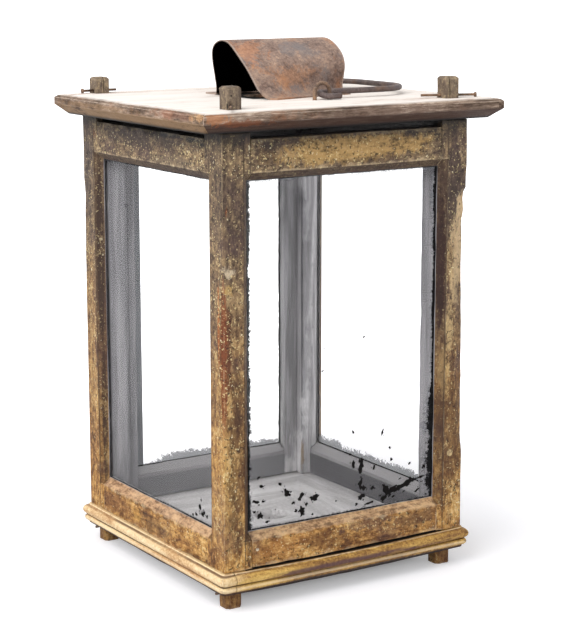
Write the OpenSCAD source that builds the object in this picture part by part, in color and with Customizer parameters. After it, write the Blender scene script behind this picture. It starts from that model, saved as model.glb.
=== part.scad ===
// Old wooden candle lantern: four tenoned posts, a moulded base, a chamfered lid held
// by loose nails, grooved window panes, a glazed back door and a sheet-iron smoke hood.
// The origin is under the middle of the body, on the surface that the feet stand on.
// The front faces -Y, and the door is at the back, +Y.

/* [Body] */
// Width of the body over the post faces
body_w = 180; // [160:1:230]
// Depth of the body over the post faces
body_d = 178; // [160:1:230]
// Height of the posts between the base and the lid
post_h = 266; // [200:1:340]
// Side of the square posts
post_s = 20; // [18:0.5:24]
// How far the feet stand out below the base
foot_h = 11.5; // [9:0.5:20]
// Width of a foot across its flats
foot_s = 11.5; // [9:0.5:14]
// Corner cut of a foot
foot_cut = 2.2; // [0.5:0.1:3]
// Clearance of a tenon in the lid or the base
tenon_gap = 0.2; // [0.1:0.05:0.5]

/* [Base] */
// Thickness of the base board
base_t = 13.5; // [13:0.5:20]
// How far the flat band round the base stands out past the posts
base_lip = 1.7; // [0.4:0.1:3]
// Height of the flat band along the top of the base, above the beads
band_h = 1.2; // [0.8:0.1:1.6]
// Radius of the large round bead along the base
large_bead_r = 3.2; // [2.8:0.05:3.3]
// How far the large bead stands out past the flat band
large_bead_out = 3.1; // [2:0.1:3.3]
// Radius of the small round bead below it
small_bead_r = 2.2; // [1.8:0.05:2.3]
// How far the small bead stands out past the flat band
small_bead_out = 2.2; // [1.5:0.1:3]
// Diameter of the candle hole bored in the base
candle_d = 22; // [12:0.5:40]
// Depth of the candle hole
candle_depth = 10.5; // [5:0.5:11]

/* [Windows] */
// Thickness of the rails, measured in from the body's face
rail_t = 13; // [11:0.5:16]
// Height of the top rails
top_rail_h = 25; // [20:0.5:34]
// Height of the bottom rails
bottom_rail_h = 22.5; // [18:0.5:34]
// Air gap between the top rails and the lid
lid_air = 4.2; // [1:0.1:8]
// Gap under the front bottom rail, where the base has warped away
front_warp = 1.1; // [0.2:0.1:2]
// Gap under the other bottom rails
rail_gap = 0.2; // [0.1:0.1:1]
// Width of the bevel round each window
bevel_w = 5; // [3:0.5:6]
// Depth of the bevel, down to the pane
bevel_d = 5.4; // [4:0.1:6]
// Height of the bevel along the inner edge of each rail
inner_bevel = 5; // [2:0.5:6]
// Thickness of the panes
glass_t = 1.8; // [1.5:0.1:2.5]
// How far a pane reaches into its groove
glass_bite = 3; // [2:0.1:3.5]
// Clearance on each face of a pane in its groove
glass_gap = 0.15; // [0.05:0.05:0.3]
// Clearance at the edge of a pane in its groove
glass_end_gap = 0.6; // [0.2:0.1:1]
// Length of the rail tenons
tenon_l = 6.5; // [4:0.5:7]
// Thickness of the rail tenons
tenon_t = 4; // [3:0.5:5]
// Shoulder above and below each rail tenon
tenon_shoulder = 3; // [2:0.5:4]
// Clearance of a rail tenon in its mortise
mortise_gap = 0.1; // [0.05:0.05:0.3]

/* [Door] */
// Width of the door stiles
door_stile_w = 12.8; // [11:0.1:18]
// Height of the door's top rail
door_top_h = 13.2; // [11:0.1:24]
// Depth of the rebate in the back posts that the door closes against
door_rebate = 3; // [2:0.5:4]
// Clearance round the door
door_gap = 0.8; // [0.4:0.1:1.5]
// Height of the lower hinge above the base
hinge_low_z = 45; // [35:1:80]
// Height of the upper hinge above the base
hinge_high_z = 205; // [120:1:215]
// Height of a hinge
hinge_h = 26; // [18:1:40]
// Width of a hinge leaf
leaf_w = 8; // [7:0.5:8]
// Thickness of a hinge leaf
leaf_t = 1.1; // [0.8:0.1:1.4]
// Outer radius of a hinge knuckle
knuckle_r = 1.9; // [1.7:0.1:2.4]
// Gap between the knuckles
knuckle_gap = 0.3; // [0.1:0.1:0.6]
// Diameter of a hinge pin
hinge_pin_d = 1.7; // [1.4:0.1:2.4]
// Radial clearance of a hinge pin
hinge_fit = 0.05; // [0.02:0.01:0.1]
// Height of the turn button's pivot above the base
button_z = 128; // [60:1:180]
// Long arm of the turn button
button_long = 17; // [14:0.5:22]
// Short arm of the turn button
button_short = 6; // [4:0.5:8]
// Half width of the turn button at its pivot
button_half_w = 4.5; // [3.5:0.1:6]
// Half width of the turn button at its tip
button_tip_w = 3.2; // [2:0.1:4]
// Thickness of the turn button
button_t = 4; // [2:0.5:5]
// Gap between the turn button and the wood behind it
button_gap = 0.3; // [0.2:0.1:0.6]

/* [Lid] */
// Thickness of the lid board
lid_t = 13.1; // [12:0.1:20]
// Width of the lid
lid_w = 219; // [205:1:280]
// Depth of the lid
lid_d = 193; // [190:1:260]
// How far the lid has slipped to the right
lid_shift_x = 2.2; // [-2.2:0.1:2.2]
// How far the lid has slipped to the front
lid_shift_y = -1.6; // [-4:0.1:4]
// Height of the chamfer under the lid's edge
lid_chamfer_h = 6.2; // [3:0.1:8]
// Run of the chamfer at the ends of the lid
lid_chamfer_x = 6.3; // [3:0.1:10]
// Run of the chamfer along the front and back of the lid
lid_chamfer_y = 8.6; // [3:0.1:10]
// Height of the eased top edge
lid_ease_h = 2.2; // [0.5:0.1:4]
// Run of the eased top edge
lid_ease_run = 2.2; // [0.5:0.1:4]
// Diameter of the smoke hole through the lid
vent_d = 46; // [20:1:50]
// Distance of the smoke hole's middle to the right of the body's middle
vent_x = 6; // [0:0.5:10]
// Width of the tenons that come up through the lid
top_tenon_x = 9.4; // [8:0.1:12]
// Depth of the tenons that come up through the lid
top_tenon_y = 10; // [8:0.1:12]
// How far the tenons stand out above the lid
top_tenon_h = 13.5; // [9:0.1:20]
// How far the shorter back left tenon stands out above the lid
short_tenon_h = 10.5; // [8:0.1:20]
// Chamfer round the top of each tenon
top_tenon_cut = 1.2; // [0.4:0.1:2]
// How far the tenons are cut off the middle of the post, outwards along Y
top_tenon_out = 2; // [0:0.1:3]
// How far the two tenons at the left are cut off the middle along X, back to the left
left_tenon_x = 1; // [0:0.1:2]
// How far the back left foot is cut off the middle of the post, outwards along Y
back_left_foot_out = 2; // [0:0.1:3]

/* [Nails] */
// Diameter of the nails that hold the lid and the base
nail_d = 1.7; // [1.4:0.1:2.4]
// Length of the nails through the top tenons
lid_nail_l = 35; // [26:1:50]
// Length of the shorter nail through the back left tenon
short_nail_l = 24; // [20:1:40]
// Length of the nails through the feet
foot_nail_l = 21; // [15:1:24]
// Turn of the front left lid nail away from the X direction
front_left_turn = 60; // [30:1:90]
// Turn of the front right lid nail away from the X direction
front_right_turn = 20; // [0:1:30]
// Diameter of a nail head
nail_head_d = 3.2; // [2.6:0.1:4.4]
// Thickness of a nail head
nail_head_t = 1.1; // [0.6:0.1:2]
// Gap between a nail and the board that it holds
nail_gap = 0.15; // [0.05:0.05:0.5]
// Radial clearance of a nail in its hole
nail_fit = 0.05; // [0.02:0.01:0.1]
// Length of the small nails and tacks in the wood
tack_l = 9; // [6:0.5:11]
// Distance of the two front nails in the end rails from the body's middle
end_nail_front = 66; // [60:0.5:67]
// Distance of the two back nails by the end rails from the body's middle
end_nail_back = 71.5; // [71:0.5:74]
// Diameter of the small nails and tacks
tack_d = 1.5; // [1.2:0.1:2]
// Diameter of the head of a small nail or tack
tack_head_d = 3.8; // [2.8:0.1:5]
// Thickness of the head of a small nail or tack
tack_head_t = 0.9; // [0.5:0.1:1.5]

/* [Smoke hood] */
// Length of the hood along X
hood_l = 73; // [60:1:90]
// How far the middle of the hood is to the right of the body's middle
hood_x = 9.5; // [0:0.5:14]
// Thickness of the hood's sheet iron
sheet_t = 0.9; // [0.6:0.1:1.5]
// Height scale of the hood's arch
hood_rise = 1; // [0.8:0.05:1.3]

/* [Bail] */
// Diameter of the bail's rod
rod_d = 3.8; // [3:0.1:4.2]
// Straight length of the bail's legs, from the pivot
bail_leg = 49.5; // [46:0.5:60]
// Radius of the two corners of the bail's loop
bail_corner = 28; // [20:1:36]
// Distance of the bail's legs from the body's middle
bail_half_w = 45; // [43:1:54]
// Distance of the staples to the right of the body's middle
staple_x = 6.2; // [4:0.1:12]
// Centreline radius of the hook at each end of the bail
hook_r = 5; // [4.8:0.1:6]
// Turn of each hook about the leg, so that its tail lies lower
hook_turn = 12; // [8:1:24]
// Length of the hook's straight tail
hook_tail = 6.5; // [4:0.5:12]
// Gap between the tails of the lying bail and the lid
bail_gap = 0.3; // [0.2:0.1:0.6]
// Diameter of the staple's wire
staple_wire = 2.7; // [2:0.1:3]
// Centreline radius of the staple's arch
staple_r = 5.5; // [5.2:0.1:7]
// Height of the middle of the staple's arch above the lid
staple_h = 4.8; // [4.5:0.1:8]
// Length of the staple's bent-over ends under the lid
clinch_l = 6; // [4:0.5:9]

/* [Hidden] */
$fn = 48;
// Heights of the main levels
base_top = foot_h + base_t;
lid_bottom = base_top + post_h;
lid_top = lid_bottom + lid_t;
rail_top = lid_bottom - lid_air;
sight_low = base_top + bottom_rail_h;
sight_high = rail_top - top_rail_h;
// Widths of the windows between the posts
open_w = body_w - 2 * post_s;
open_d = body_d - 2 * post_s;
// Depth of the groove that holds a pane, and where it starts behind the face
slot_t = glass_t + 2 * glass_gap;
slot_bite = glass_bite + glass_end_gap;
slot_end = bevel_d + slot_t;
// Wood left between the pane's groove and the rail tenons behind it
slot_wall = 0.6;
tenon_in = slot_end + slot_wall;
// Door
door_z0 = base_top + door_gap;
door_z1 = sight_high + door_top_h;
door_w = open_w + 2 * door_rebate - 2 * door_gap;
door_open_w = door_w - 2 * door_stile_w;
back_rail_z0 = door_z1 + door_gap;
back_y = body_d / 2;
hinge_x = open_w / 2 + door_rebate - door_gap / 2;
// Share of a knuckle's radius that its middle stands behind the leaf
knuckle_share = 0.6;
hinge_y = back_y + leaf_t + knuckle_r * knuckle_share;
hinge_zs = [base_top + hinge_low_z, base_top + hinge_high_z];
knuckle_h = (hinge_h - 2 * knuckle_gap) / 3;
// Places of a hinge's nails, as shares of its leaf's width and of its height
leaf_nail_in = leaf_w * 0.62;
leaf_nail_up = hinge_h * 0.32;
// How far a hinge pin stands out of its knuckles, and the size of its head
pin_over = 0.8;
pin_head_t = 1;
pin_head_d = hinge_pin_d + 1.2;
button_x = -(open_w / 2 + door_rebate + (post_s - door_rebate) / 2);
// Posts and feet
post_x = (body_w - post_s) / 2;
post_y = (body_d - post_s) / 2;
// Hood: the run of its sheet at each end, from the back flange to the front one. Each point
// is Y, the height above the lid, and how far the cut edge is set back from the hood's end
hood_x0 = hood_x - hood_l / 2;
hood_left = [
    [36, 0, 0], [30, 0, 0], [24.4, 0.6, 0], [22.6, 4, 0], [24.6, 12, 0], [27.4, 22, 0],
    [27.4, 28.6, 0], [23.4, 33, 0], [16, 35.2, 0], [8, 34.2, 0], [1.4, 30.6, 0], [-6, 25.2, 0],
    [-14.6, 18.8, 0], [-22.6, 11.4, 0], [-28.4, 6, 0], [-32, 2.6, 2], [-34.6, 0.8, 4.5], [-37.6, 0, 9]
];
hood_right = [
    [36, 0, 0], [30, 0, 0], [25, 0.6, 0], [23.4, 4, 0], [25.4, 12, 0], [28, 21, 0],
    [27, 29, 0], [20.6, 33.6, 0], [11, 35.3, 0], [1.5, 34.6, 0], [-7.4, 30.8, 0], [-14.2, 25.4, 0],
    [-17, 18.6, 0], [-15.6, 10.4, 0], [-14.4, 5.2, 0], [-15.6, 2, 0], [-18.6, 0.2, 0], [-23.6, 0, 0]
];
hood_steps = 3;
hood_slices = 6;
tack_front = [[22, -26.6], [40, -21.8]];
tack_back = [[-14, 33], [34, 33]];
hood_tack_xy = concat(tack_front, tack_back);
// Bail
// The rod rests in its staple this far from the arch's middle
rest_in = 0.9;
pivot_x = staple_x - rest_in;
staple_y = bail_half_w + hook_r * cos(hook_turn);
leg_rise = hook_r * sin(hook_turn);
pivot_z = lid_top + rod_d / 2 + bail_gap + leg_rise;
bail_end = 2 * (bail_half_w - bail_corner);

// A cylinder along X, centred on its length
module bar_x(length, radius) {
    rotate([0, 90, 0])
        cylinder(h = length, r = radius, center = true);
}
// A cylinder along Y, centred on its length
module bar_y(length, radius) {
    rotate([90, 0, 0])
        cylinder(h = length, r = radius, center = true);
}
// Puts what is drawn for the front at the side that is turned by this angle
module at_side(angle) {
    rotate([0, 0, angle])
        children();
}
// The bevelled window between z0 and z1, cut from the outer face at -Y, with mitred corners
module window_cut(face, width, z0, z1) {
    over = 1;
    slope = bevel_w / bevel_d;
    grow = bevel_w + over * slope;
    intersection() {
        translate([0, 0, z0 - grow - 1])
            linear_extrude(z1 - z0 + 2 * grow + 2)
                polygon([
                    [-width / 2 - grow, -face - over], [width / 2 + grow, -face - over],
                    [width / 2, -face + bevel_d], [-width / 2, -face + bevel_d]
                ]);
        rotate([90, 0, 90])
            translate([0, 0, -width / 2 - grow - 1])
                linear_extrude(width + 2 * grow + 2)
                    polygon([
                        [-face - over, z0 - grow], [-face + bevel_d, z0],
                        [-face + bevel_d, z1], [-face - over, z1 + grow]
                    ]);
    }
}
// The groove that a pane sits in
module pane_slot(face, width, z0, z1) {
    translate([-width / 2 - slot_bite, -face + bevel_d, z0 - slot_bite])
        cube([width + 2 * slot_bite, slot_t, z1 - z0 + 2 * slot_bite]);
}
// A pane of glass in its groove
module pane(face, width, z0, z1) {
    translate([-width / 2 - glass_bite, -face + bevel_d + glass_gap, z0 - glass_bite])
        cube([width + 2 * glass_bite, glass_t, z1 - z0 + 2 * glass_bite]);
}
// Everything that is cut out for one fixed window
module window_cuts(face, width) {
    window_cut(face, width, sight_low, sight_high);
    pane_slot(face, width, sight_low, sight_high);
}
// A board from z0 to z1 behind the face, with tenons at both ends
module tenoned_rail(face, width, z0, z1, grow = 0) {
    if (grow == 0)
        translate([-width / 2, -face, z0])
            cube([width, rail_t, z1 - z0]);
    long = width + 2 * (tenon_l + grow);
    translate([-long / 2, -face + tenon_in - grow, z0 + tenon_shoulder - grow])
        cube([long, tenon_t + 2 * grow, z1 - z0 - 2 * tenon_shoulder + 2 * grow]);
}
// The slope along the inner edge of a rail; up is 1 for the top edge, -1 for the bottom one
module inner_slope(face, width, edge, up) {
    back = rail_t - slot_end;
    translate([0, -face + slot_end, edge])
        rotate([90, 0, 90])
            translate([0, 0, -width / 2 - 1])
                linear_extrude(width + 2)
                    polygon([
                        [0, 0], [back + 1, -up * inner_bevel * (back + 1) / back],
                        [back + 1, up], [0, up]
                    ]);
}
module bottom_rail(face, width, gap) {
    difference() {
        tenoned_rail(face, width, base_top + gap, sight_low);
        window_cuts(face, width);
        inner_slope(face, width, sight_low, 1);
    }
}
module top_rail(face, width) {
    difference() {
        tenoned_rail(face, width, sight_high, rail_top);
        window_cuts(face, width);
        inner_slope(face, width, sight_high, -1);
    }
}
// A square with its corners cut
module cut_square(side, cut) {
    half = side / 2;
    polygon([
        [-half + cut, -half], [half - cut, -half], [half, -half + cut], [half, half - cut],
        [half - cut, half], [-half + cut, half], [-half, half - cut], [-half, -half + cut]
    ]);
}
// A block whose top edges are cut on all four sides
module topped_block(wide, deep, z0, z1, cut) {
    intersection() {
        rotate([90, 0, 0])
            linear_extrude(deep, center = true)
                polygon([
                    [-wide / 2, z0], [wide / 2, z0], [wide / 2, z1 - cut],
                    [wide / 2 - cut, z1], [cut - wide / 2, z1], [-wide / 2, z1 - cut]
                ]);
        rotate([90, 0, 90])
            linear_extrude(wide, center = true)
                polygon([
                    [-deep / 2, z0], [deep / 2, z0], [deep / 2, z1 - cut],
                    [deep / 2 - cut, z1], [cut - deep / 2, z1], [-deep / 2, z1 - cut]
                ]);
    }
}
// The tenons were cut by hand, so some stand off the middle of their post
function is_back_left(side_x, side_y) = side_x < 0 && side_y > 0;
function tenon_x(side_x, side_y) = side_x * post_x + (side_x < 0 ? -side_y * left_tenon_x : 0);
function tenon_y(side_y) = side_y * (post_y + top_tenon_out);
function tenon_h(side_x, side_y) = is_back_left(side_x, side_y) ? short_tenon_h : top_tenon_h;
function foot_y(side_x, side_y) =
    side_y * (post_y + (is_back_left(side_x, side_y) ? back_left_foot_out : 0));
module at_tenon(side_x, side_y) {
    translate([tenon_x(side_x, side_y), tenon_y(side_y), 0])
        children();
}
module at_foot(side_x, side_y) {
    translate([side_x * post_x, foot_y(side_x, side_y), 0])
        children();
}
// The post without its cuts
module post_blank(side_x, side_y) {
    translate([side_x * post_x, side_y * post_y, base_top])
        linear_extrude(post_h)
            square(post_s, center = true);
    at_foot(side_x, side_y)
        linear_extrude(base_top + 1)
            cut_square(foot_s, foot_cut);
    at_tenon(side_x, side_y)
        topped_block(top_tenon_x, top_tenon_y, lid_bottom - 1,
            lid_top + tenon_h(side_x, side_y), top_tenon_cut);
}
lid_nail_z = lid_top + nail_head_d / 2 + nail_gap;
foot_nail_z = foot_h - nail_head_d / 2 - nail_gap;
// Share of the top rail's height that its nails lie below its top edge
rail_nail_share = 0.38;
rail_nail_z = rail_top - top_rail_h * rail_nail_share;
// A post at the corner with these signs; a back corner has the rebate for the door
module post(side_x, side_y) {
    difference() {
        post_blank(side_x, side_y);
        // the window at the end of the body, left or right
        at_side(90 * side_x) {
            window_cuts(body_w / 2, open_d);
            tenoned_rail(body_w / 2, open_d, sight_high, rail_top, mortise_gap);
            tenoned_rail(body_w / 2, open_d, base_top + rail_gap, sight_low, mortise_gap);
        }
        if (side_y < 0) {
            window_cuts(body_d / 2, open_w);
            tenoned_rail(body_d / 2, open_w, sight_high, rail_top, mortise_gap);
            tenoned_rail(body_d / 2, open_w, base_top + front_warp, sight_low, mortise_gap);
        }
        if (side_y > 0) {
            at_side(180)
                tenoned_rail(body_d / 2, open_w, back_rail_z0, rail_top, mortise_gap);
            door_recess();
            hinge_nail_holes(1);
        }
        // nail holes through the tenon above the lid and through the foot
        lid_nail_at(side_x, side_y)
            bar_x(post_s, nail_d / 2 + nail_fit);
        foot_nail_at(side_x, side_y)
            bar_x(post_s, nail_d / 2 + nail_fit);
        rail_nail_holes();
        if (side_x < 0 && side_y > 0)
            button_hole();
    }
}
// The space that the door closes into
module door_recess() {
    wide = open_w + 2 * door_rebate;
    deep = rail_t + button_gap;
    translate([-wide / 2, back_y - deep, base_top])
        cube([wide, deep + 1, back_rail_z0 - base_top]);
}
// Nails through the top tenons: roughly along X, but across it at the front left corner,
// and with the head outwards at the back left corner
function lid_nail_turn(side_x, side_y) =
    is_back_left(side_x, side_y) ? 180 :
    side_y > 0 ? 0 :
    side_x > 0 ? -front_right_turn : front_left_turn;
module lid_nail_at(side_x, side_y) {
    at_tenon(side_x, side_y)
        translate([0, 0, lid_nail_z])
            rotate([0, 0, lid_nail_turn(side_x, side_y)])
                children();
}
module foot_nail_at(side_x, side_y) {
    at_foot(side_x, side_y)
        translate([0, 0, foot_nail_z])
            children();
}
// A nail along X, centred, with its head at the +X end
module nail(length) {
    bar_x(length, nail_d / 2);
    translate([length / 2 + nail_head_t / 2, 0, 0])
        bar_x(nail_head_t, nail_head_d / 2);
}
// A tack that points to -Z, with its head standing on z = 0
module tack() {
    translate([0, 0, -tack_l])
        cylinder(h = tack_l + 0.01, d = tack_d);
    cylinder(h = tack_head_t, d = tack_head_d);
}
module tack_hole() {
    translate([0, 0, -tack_l - nail_fit])
        cylinder(h = tack_l + 2, r = tack_d / 2 + nail_fit);
}
// Nails at the ends of the top rails on the two end windows
module rail_nail_at() {
    for (side_x = [-1, 1])
        for (y = [-end_nail_front, end_nail_back])
            translate([side_x * body_w / 2, y, rail_nail_z])
                rotate([0, side_x * 90, 0])
                    children();
}
module rail_nail_holes() {
    rail_nail_at()
        tack_hole();
}

// Outline of the base board across its width, with a flat band and two beads at each edge
module base_profile(half) {
    edge = half + base_lip;
    large_z = base_top - band_h - large_bead_r;
    small_z = large_z - large_bead_r - small_bead_r;
    translate([-edge, foot_h])
        square([2 * edge, base_t]);
    for (side = [-1, 1]) {
        translate([side * (edge + large_bead_out - large_bead_r), large_z])
            circle(r = large_bead_r);
        translate([side * (edge + small_bead_out - small_bead_r), small_z])
            circle(r = small_bead_r);
    }
}
module base_board() {
    color([0.60, 0.45, 0.23])
        difference() {
            intersection() {
                rotate([90, 0, 0])
                    linear_extrude(body_d + 40, center = true)
                        base_profile(body_w / 2);
                rotate([90, 0, 90])
                    linear_extrude(body_w + 40, center = true)
                        base_profile(body_d / 2);
            }
            for (side_x = [-1, 1])
                for (side_y = [-1, 1])
                    at_foot(side_x, side_y)
                        translate([0, 0, foot_h - 1])
                            linear_extrude(base_t + 2)
                                cut_square(foot_s + 2 * tenon_gap, foot_cut);
            translate([0, 0, base_top - candle_depth])
                cylinder(h = candle_depth + 1, d = candle_d);
        }
}
module post_front_left() {
    color([0.42, 0.32, 0.20])
        post(-1, -1);
}
module post_front_right() {
    color([0.42, 0.32, 0.20])
        post(1, -1);
}
module post_back_left() {
    color([0.42, 0.32, 0.20])
        post(-1, 1);
}
module post_back_right() {
    color([0.42, 0.32, 0.20])
        post(1, 1);
}
module front_top_rail() {
    color([0.45, 0.36, 0.22])
        top_rail(body_d / 2, open_w);
}
module front_bottom_rail() {
    color([0.50, 0.39, 0.22])
        bottom_rail(body_d / 2, open_w, front_warp);
}
module left_top_rail() {
    color([0.45, 0.36, 0.22])
        difference() {
            at_side(-90)
                top_rail(body_w / 2, open_d);
            rail_nail_holes();
        }
}
module left_bottom_rail() {
    color([0.50, 0.39, 0.22])
        at_side(-90)
            bottom_rail(body_w / 2, open_d, rail_gap);
}
module right_top_rail() {
    color([0.45, 0.36, 0.22])
        difference() {
            at_side(90)
                top_rail(body_w / 2, open_d);
            rail_nail_holes();
        }
}
module right_bottom_rail() {
    color([0.50, 0.39, 0.22])
        at_side(90)
            bottom_rail(body_w / 2, open_d, rail_gap);
}
module back_top_rail() {
    color([0.45, 0.36, 0.22])
        at_side(180)
            tenoned_rail(body_d / 2, open_w, back_rail_z0, rail_top);
}
module front_glass() {
    color([0.80, 0.85, 0.85, 0.5])
        pane(body_d / 2, open_w, sight_low, sight_high);
}
module left_glass() {
    color([0.80, 0.85, 0.85, 0.5])
        at_side(-90)
            pane(body_w / 2, open_d, sight_low, sight_high);
}
module right_glass() {
    color([0.80, 0.85, 0.85, 0.5])
        at_side(90)
            pane(body_w / 2, open_d, sight_low, sight_high);
}

// The door is drawn for the front and turned to the back
module door_cuts() {
    window_cut(body_d / 2, door_open_w, sight_low, sight_high);
    pane_slot(body_d / 2, door_open_w, sight_low, sight_high);
}
module door_stile(side) {
    difference() {
        at_side(180)
            difference() {
                translate([-side * (door_w - door_stile_w) / 2, 0, 0])
                    translate([-door_stile_w / 2, -body_d / 2, door_z0])
                        cube([door_stile_w, rail_t, door_z1 - door_z0]);
                door_cuts();
                tenoned_rail(body_d / 2, door_open_w, door_z0, sight_low, mortise_gap);
                tenoned_rail(body_d / 2, door_open_w, sight_high, door_z1, mortise_gap);
            }
        hinge_nail_holes(-1);
    }
}
module door_hinge_stile() {
    color([0.42, 0.32, 0.20])
        door_stile(1);
}
module door_free_stile() {
    color([0.42, 0.32, 0.20])
        door_stile(-1);
}
module door_top_rail() {
    color([0.45, 0.36, 0.22])
        at_side(180)
            difference() {
                tenoned_rail(body_d / 2, door_open_w, sight_high, door_z1);
                door_cuts();
                inner_slope(body_d / 2, door_open_w, sight_high, -1);
            }
}
module door_bottom_rail() {
    color([0.50, 0.39, 0.22])
        at_side(180)
            difference() {
                tenoned_rail(body_d / 2, door_open_w, door_z0, sight_low);
                door_cuts();
                inner_slope(body_d / 2, door_open_w, sight_low, 1);
            }
}
module door_glass() {
    color([0.80, 0.85, 0.85, 0.5])
        at_side(180)
            pane(body_d / 2, door_open_w, sight_low, sight_high);
}

// One hinge leaf with its knuckles; side is 1 for the post and -1 for the door
module hinge_leaf(side) {
    edge = side > 0 ? knuckle_gap / 2 : -leaf_w;
    difference() {
        union() {
            translate([edge, back_y - hinge_y, -hinge_h / 2])
                cube([leaf_w - knuckle_gap / 2, leaf_t, hinge_h]);
            cylinder(h = hinge_h, r = knuckle_r, center = true);
        }
        cylinder(h = hinge_h + 2, r = hinge_pin_d / 2 + hinge_fit, center = true);
        // room for the other leaf's knuckles
        clear = knuckle_r + knuckle_gap;
        if (side > 0)
            cylinder(h = knuckle_h + 2 * knuckle_gap, r = clear, center = true);
        if (side < 0)
            for (end = [-1, 1])
                translate([0, 0, end * (knuckle_h + 1)])
                    cylinder(h = knuckle_h + 2, r = clear, center = true);
        for (end = [-1, 1])
            translate([side * leaf_nail_in, 0, end * leaf_nail_up])
                rotate([90, 0, 0])
                    cylinder(h = 20, r = tack_d / 2 + nail_fit, center = true);
    }
}
module at_hinges() {
    for (z = hinge_zs)
        translate([hinge_x, hinge_y, z])
            children();
}
module hinge_post_leaves() {
    color([0.30, 0.25, 0.22])
        at_hinges()
            hinge_leaf(1);
}
module hinge_door_leaves() {
    color([0.30, 0.25, 0.22])
        at_hinges()
            hinge_leaf(-1);
}
module hinge_pins() {
    color([0.38, 0.34, 0.31])
        at_hinges()
            union() {
                cylinder(h = hinge_h + 2 * pin_over, d = hinge_pin_d, center = true);
                translate([0, 0, hinge_h / 2 + pin_over])
                    cylinder(h = pin_head_t, d = pin_head_d, center = true);
            }
}
// Places of the hinge nails: side 1 in the post, -1 in the door
module hinge_nail_at(side) {
    at_hinges()
        for (end = [-1, 1])
            translate([side * leaf_nail_in, back_y + leaf_t - hinge_y, end * leaf_nail_up])
                rotate([-90, 0, 0])
                    children();
}
module hinge_nail_holes(side) {
    hinge_nail_at(side)
        tack_hole();
}
module hinge_post_nails() {
    color([0.33, 0.28, 0.24])
        hinge_nail_at(1)
            tack();
}
module hinge_door_nails() {
    color([0.33, 0.28, 0.24])
        hinge_nail_at(-1)
            tack();
}

// The turn button hangs with its long arm down
module at_button() {
    translate([button_x, back_y + button_gap, base_top + button_z])
        rotate([-90, 0, 0])
            children();
}
module turn_button() {
    color([0.40, 0.28, 0.17])
        at_button()
            difference() {
                linear_extrude(button_t)
                    hull() {
                        circle(r = button_half_w);
                        translate([0, button_long - button_tip_w])
                            circle(r = button_tip_w);
                        translate([0, button_tip_w - button_short])
                            circle(r = button_tip_w);
                    }
                translate([0, 0, -1])
                    cylinder(h = button_t + 2, r = nail_d / 2 + nail_fit);
            }
}
module button_nail() {
    color([0.33, 0.28, 0.24])
        at_button() {
            translate([0, 0, -tack_l - button_gap])
                cylinder(h = tack_l + button_gap + button_t + button_gap, d = nail_d);
            translate([0, 0, button_t + button_gap])
                cylinder(h = nail_head_t, d = nail_head_d);
        }
}
module button_hole() {
    at_button()
        translate([0, 0, -tack_l - button_gap - nail_fit])
            cylinder(h = tack_l + 2, r = nail_d / 2 + nail_fit);
}

// Height of the second flat of the lid's eased edge below its top, and where it ends
ease_mid = lid_ease_h * 0.35;
ease_far = lid_ease_run * 3;
// Outline of the lid across its width, with its chamfer and eased edges
module lid_profile(width, chamfer) {
    half = width / 2;
    polygon([
        [-half + chamfer, lid_bottom], [half - chamfer, lid_bottom],
        [half, lid_bottom + lid_chamfer_h], [half, lid_top - lid_ease_h],
        [half - lid_ease_run, lid_top - ease_mid],
        [half - ease_far, lid_top],
        [-half + ease_far, lid_top],
        [-half + lid_ease_run, lid_top - ease_mid],
        [-half, lid_top - lid_ease_h], [-half, lid_bottom + lid_chamfer_h]
    ]);
}
module lid_board() {
    color([0.80, 0.70, 0.62])
        difference() {
            translate([lid_shift_x, lid_shift_y, 0])
                intersection() {
                    rotate([90, 0, 0])
                        linear_extrude(lid_d + 10, center = true)
                            lid_profile(lid_w, lid_chamfer_x);
                    rotate([90, 0, 90])
                        linear_extrude(lid_w + 10, center = true)
                            lid_profile(lid_d, lid_chamfer_y);
                }
            for (side_x = [-1, 1])
                for (side_y = [-1, 1])
                    at_tenon(side_x, side_y)
                        translate([0, 0, lid_bottom + lid_t / 2])
                            cube([top_tenon_x + 2 * tenon_gap, top_tenon_y + 2 * tenon_gap,
                                lid_t + 2], center = true);
            translate([vent_x, 0, lid_bottom - 1])
                cylinder(h = lid_t + 2, d = vent_d);
            staple_holes();
            translate([0, 0, lid_top + sheet_t])
                for (at = hood_tack_xy)
                    translate([at[0], at[1], 0])
                        tack_hole();
        }
}

// Hood: a sheet bent over the smoke hole, ruled between the two ends' outlines
function catmull(a, b, c, d, t) =
    0.5 * (2 * b + (c - a) * t + (2 * a - 5 * b + 4 * c - d) * t * t
    + (3 * b - a - 3 * c + d) * t * t * t);
function clamp_at(list, i) = list[max(0, min(len(list) - 1, i))];
function smooth_run(list, steps) = [
    for (i = [0 : len(list) - 2])
        for (k = [0 : steps - 1])
            catmull(clamp_at(list, i - 1), list[i], list[i + 1],
                clamp_at(list, i + 2), k / steps),
    list[len(list) - 1]
];
// Moves each point of a run square to it, by this distance
function side_step(run, distance) = [
    for (i = [0 : len(run) - 1])
        let (
            step = clamp_at(run, i + 1) - clamp_at(run, i - 1),
            flat = [step[1], -step[0]]
        )
            run[i] + distance * [flat[0], flat[1], 0] / norm(flat)
];
function raised(list) = [for (p = list) [p[0], p[1] * hood_rise, p[2]]];
hood_left_run = smooth_run(raised(hood_left), hood_steps);
hood_right_run = smooth_run(raised(hood_right), hood_steps);
function hood_mix(a, b, t) = [for (i = [0 : len(a) - 1]) a[i] * (1 - t) + b[i] * t];
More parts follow.
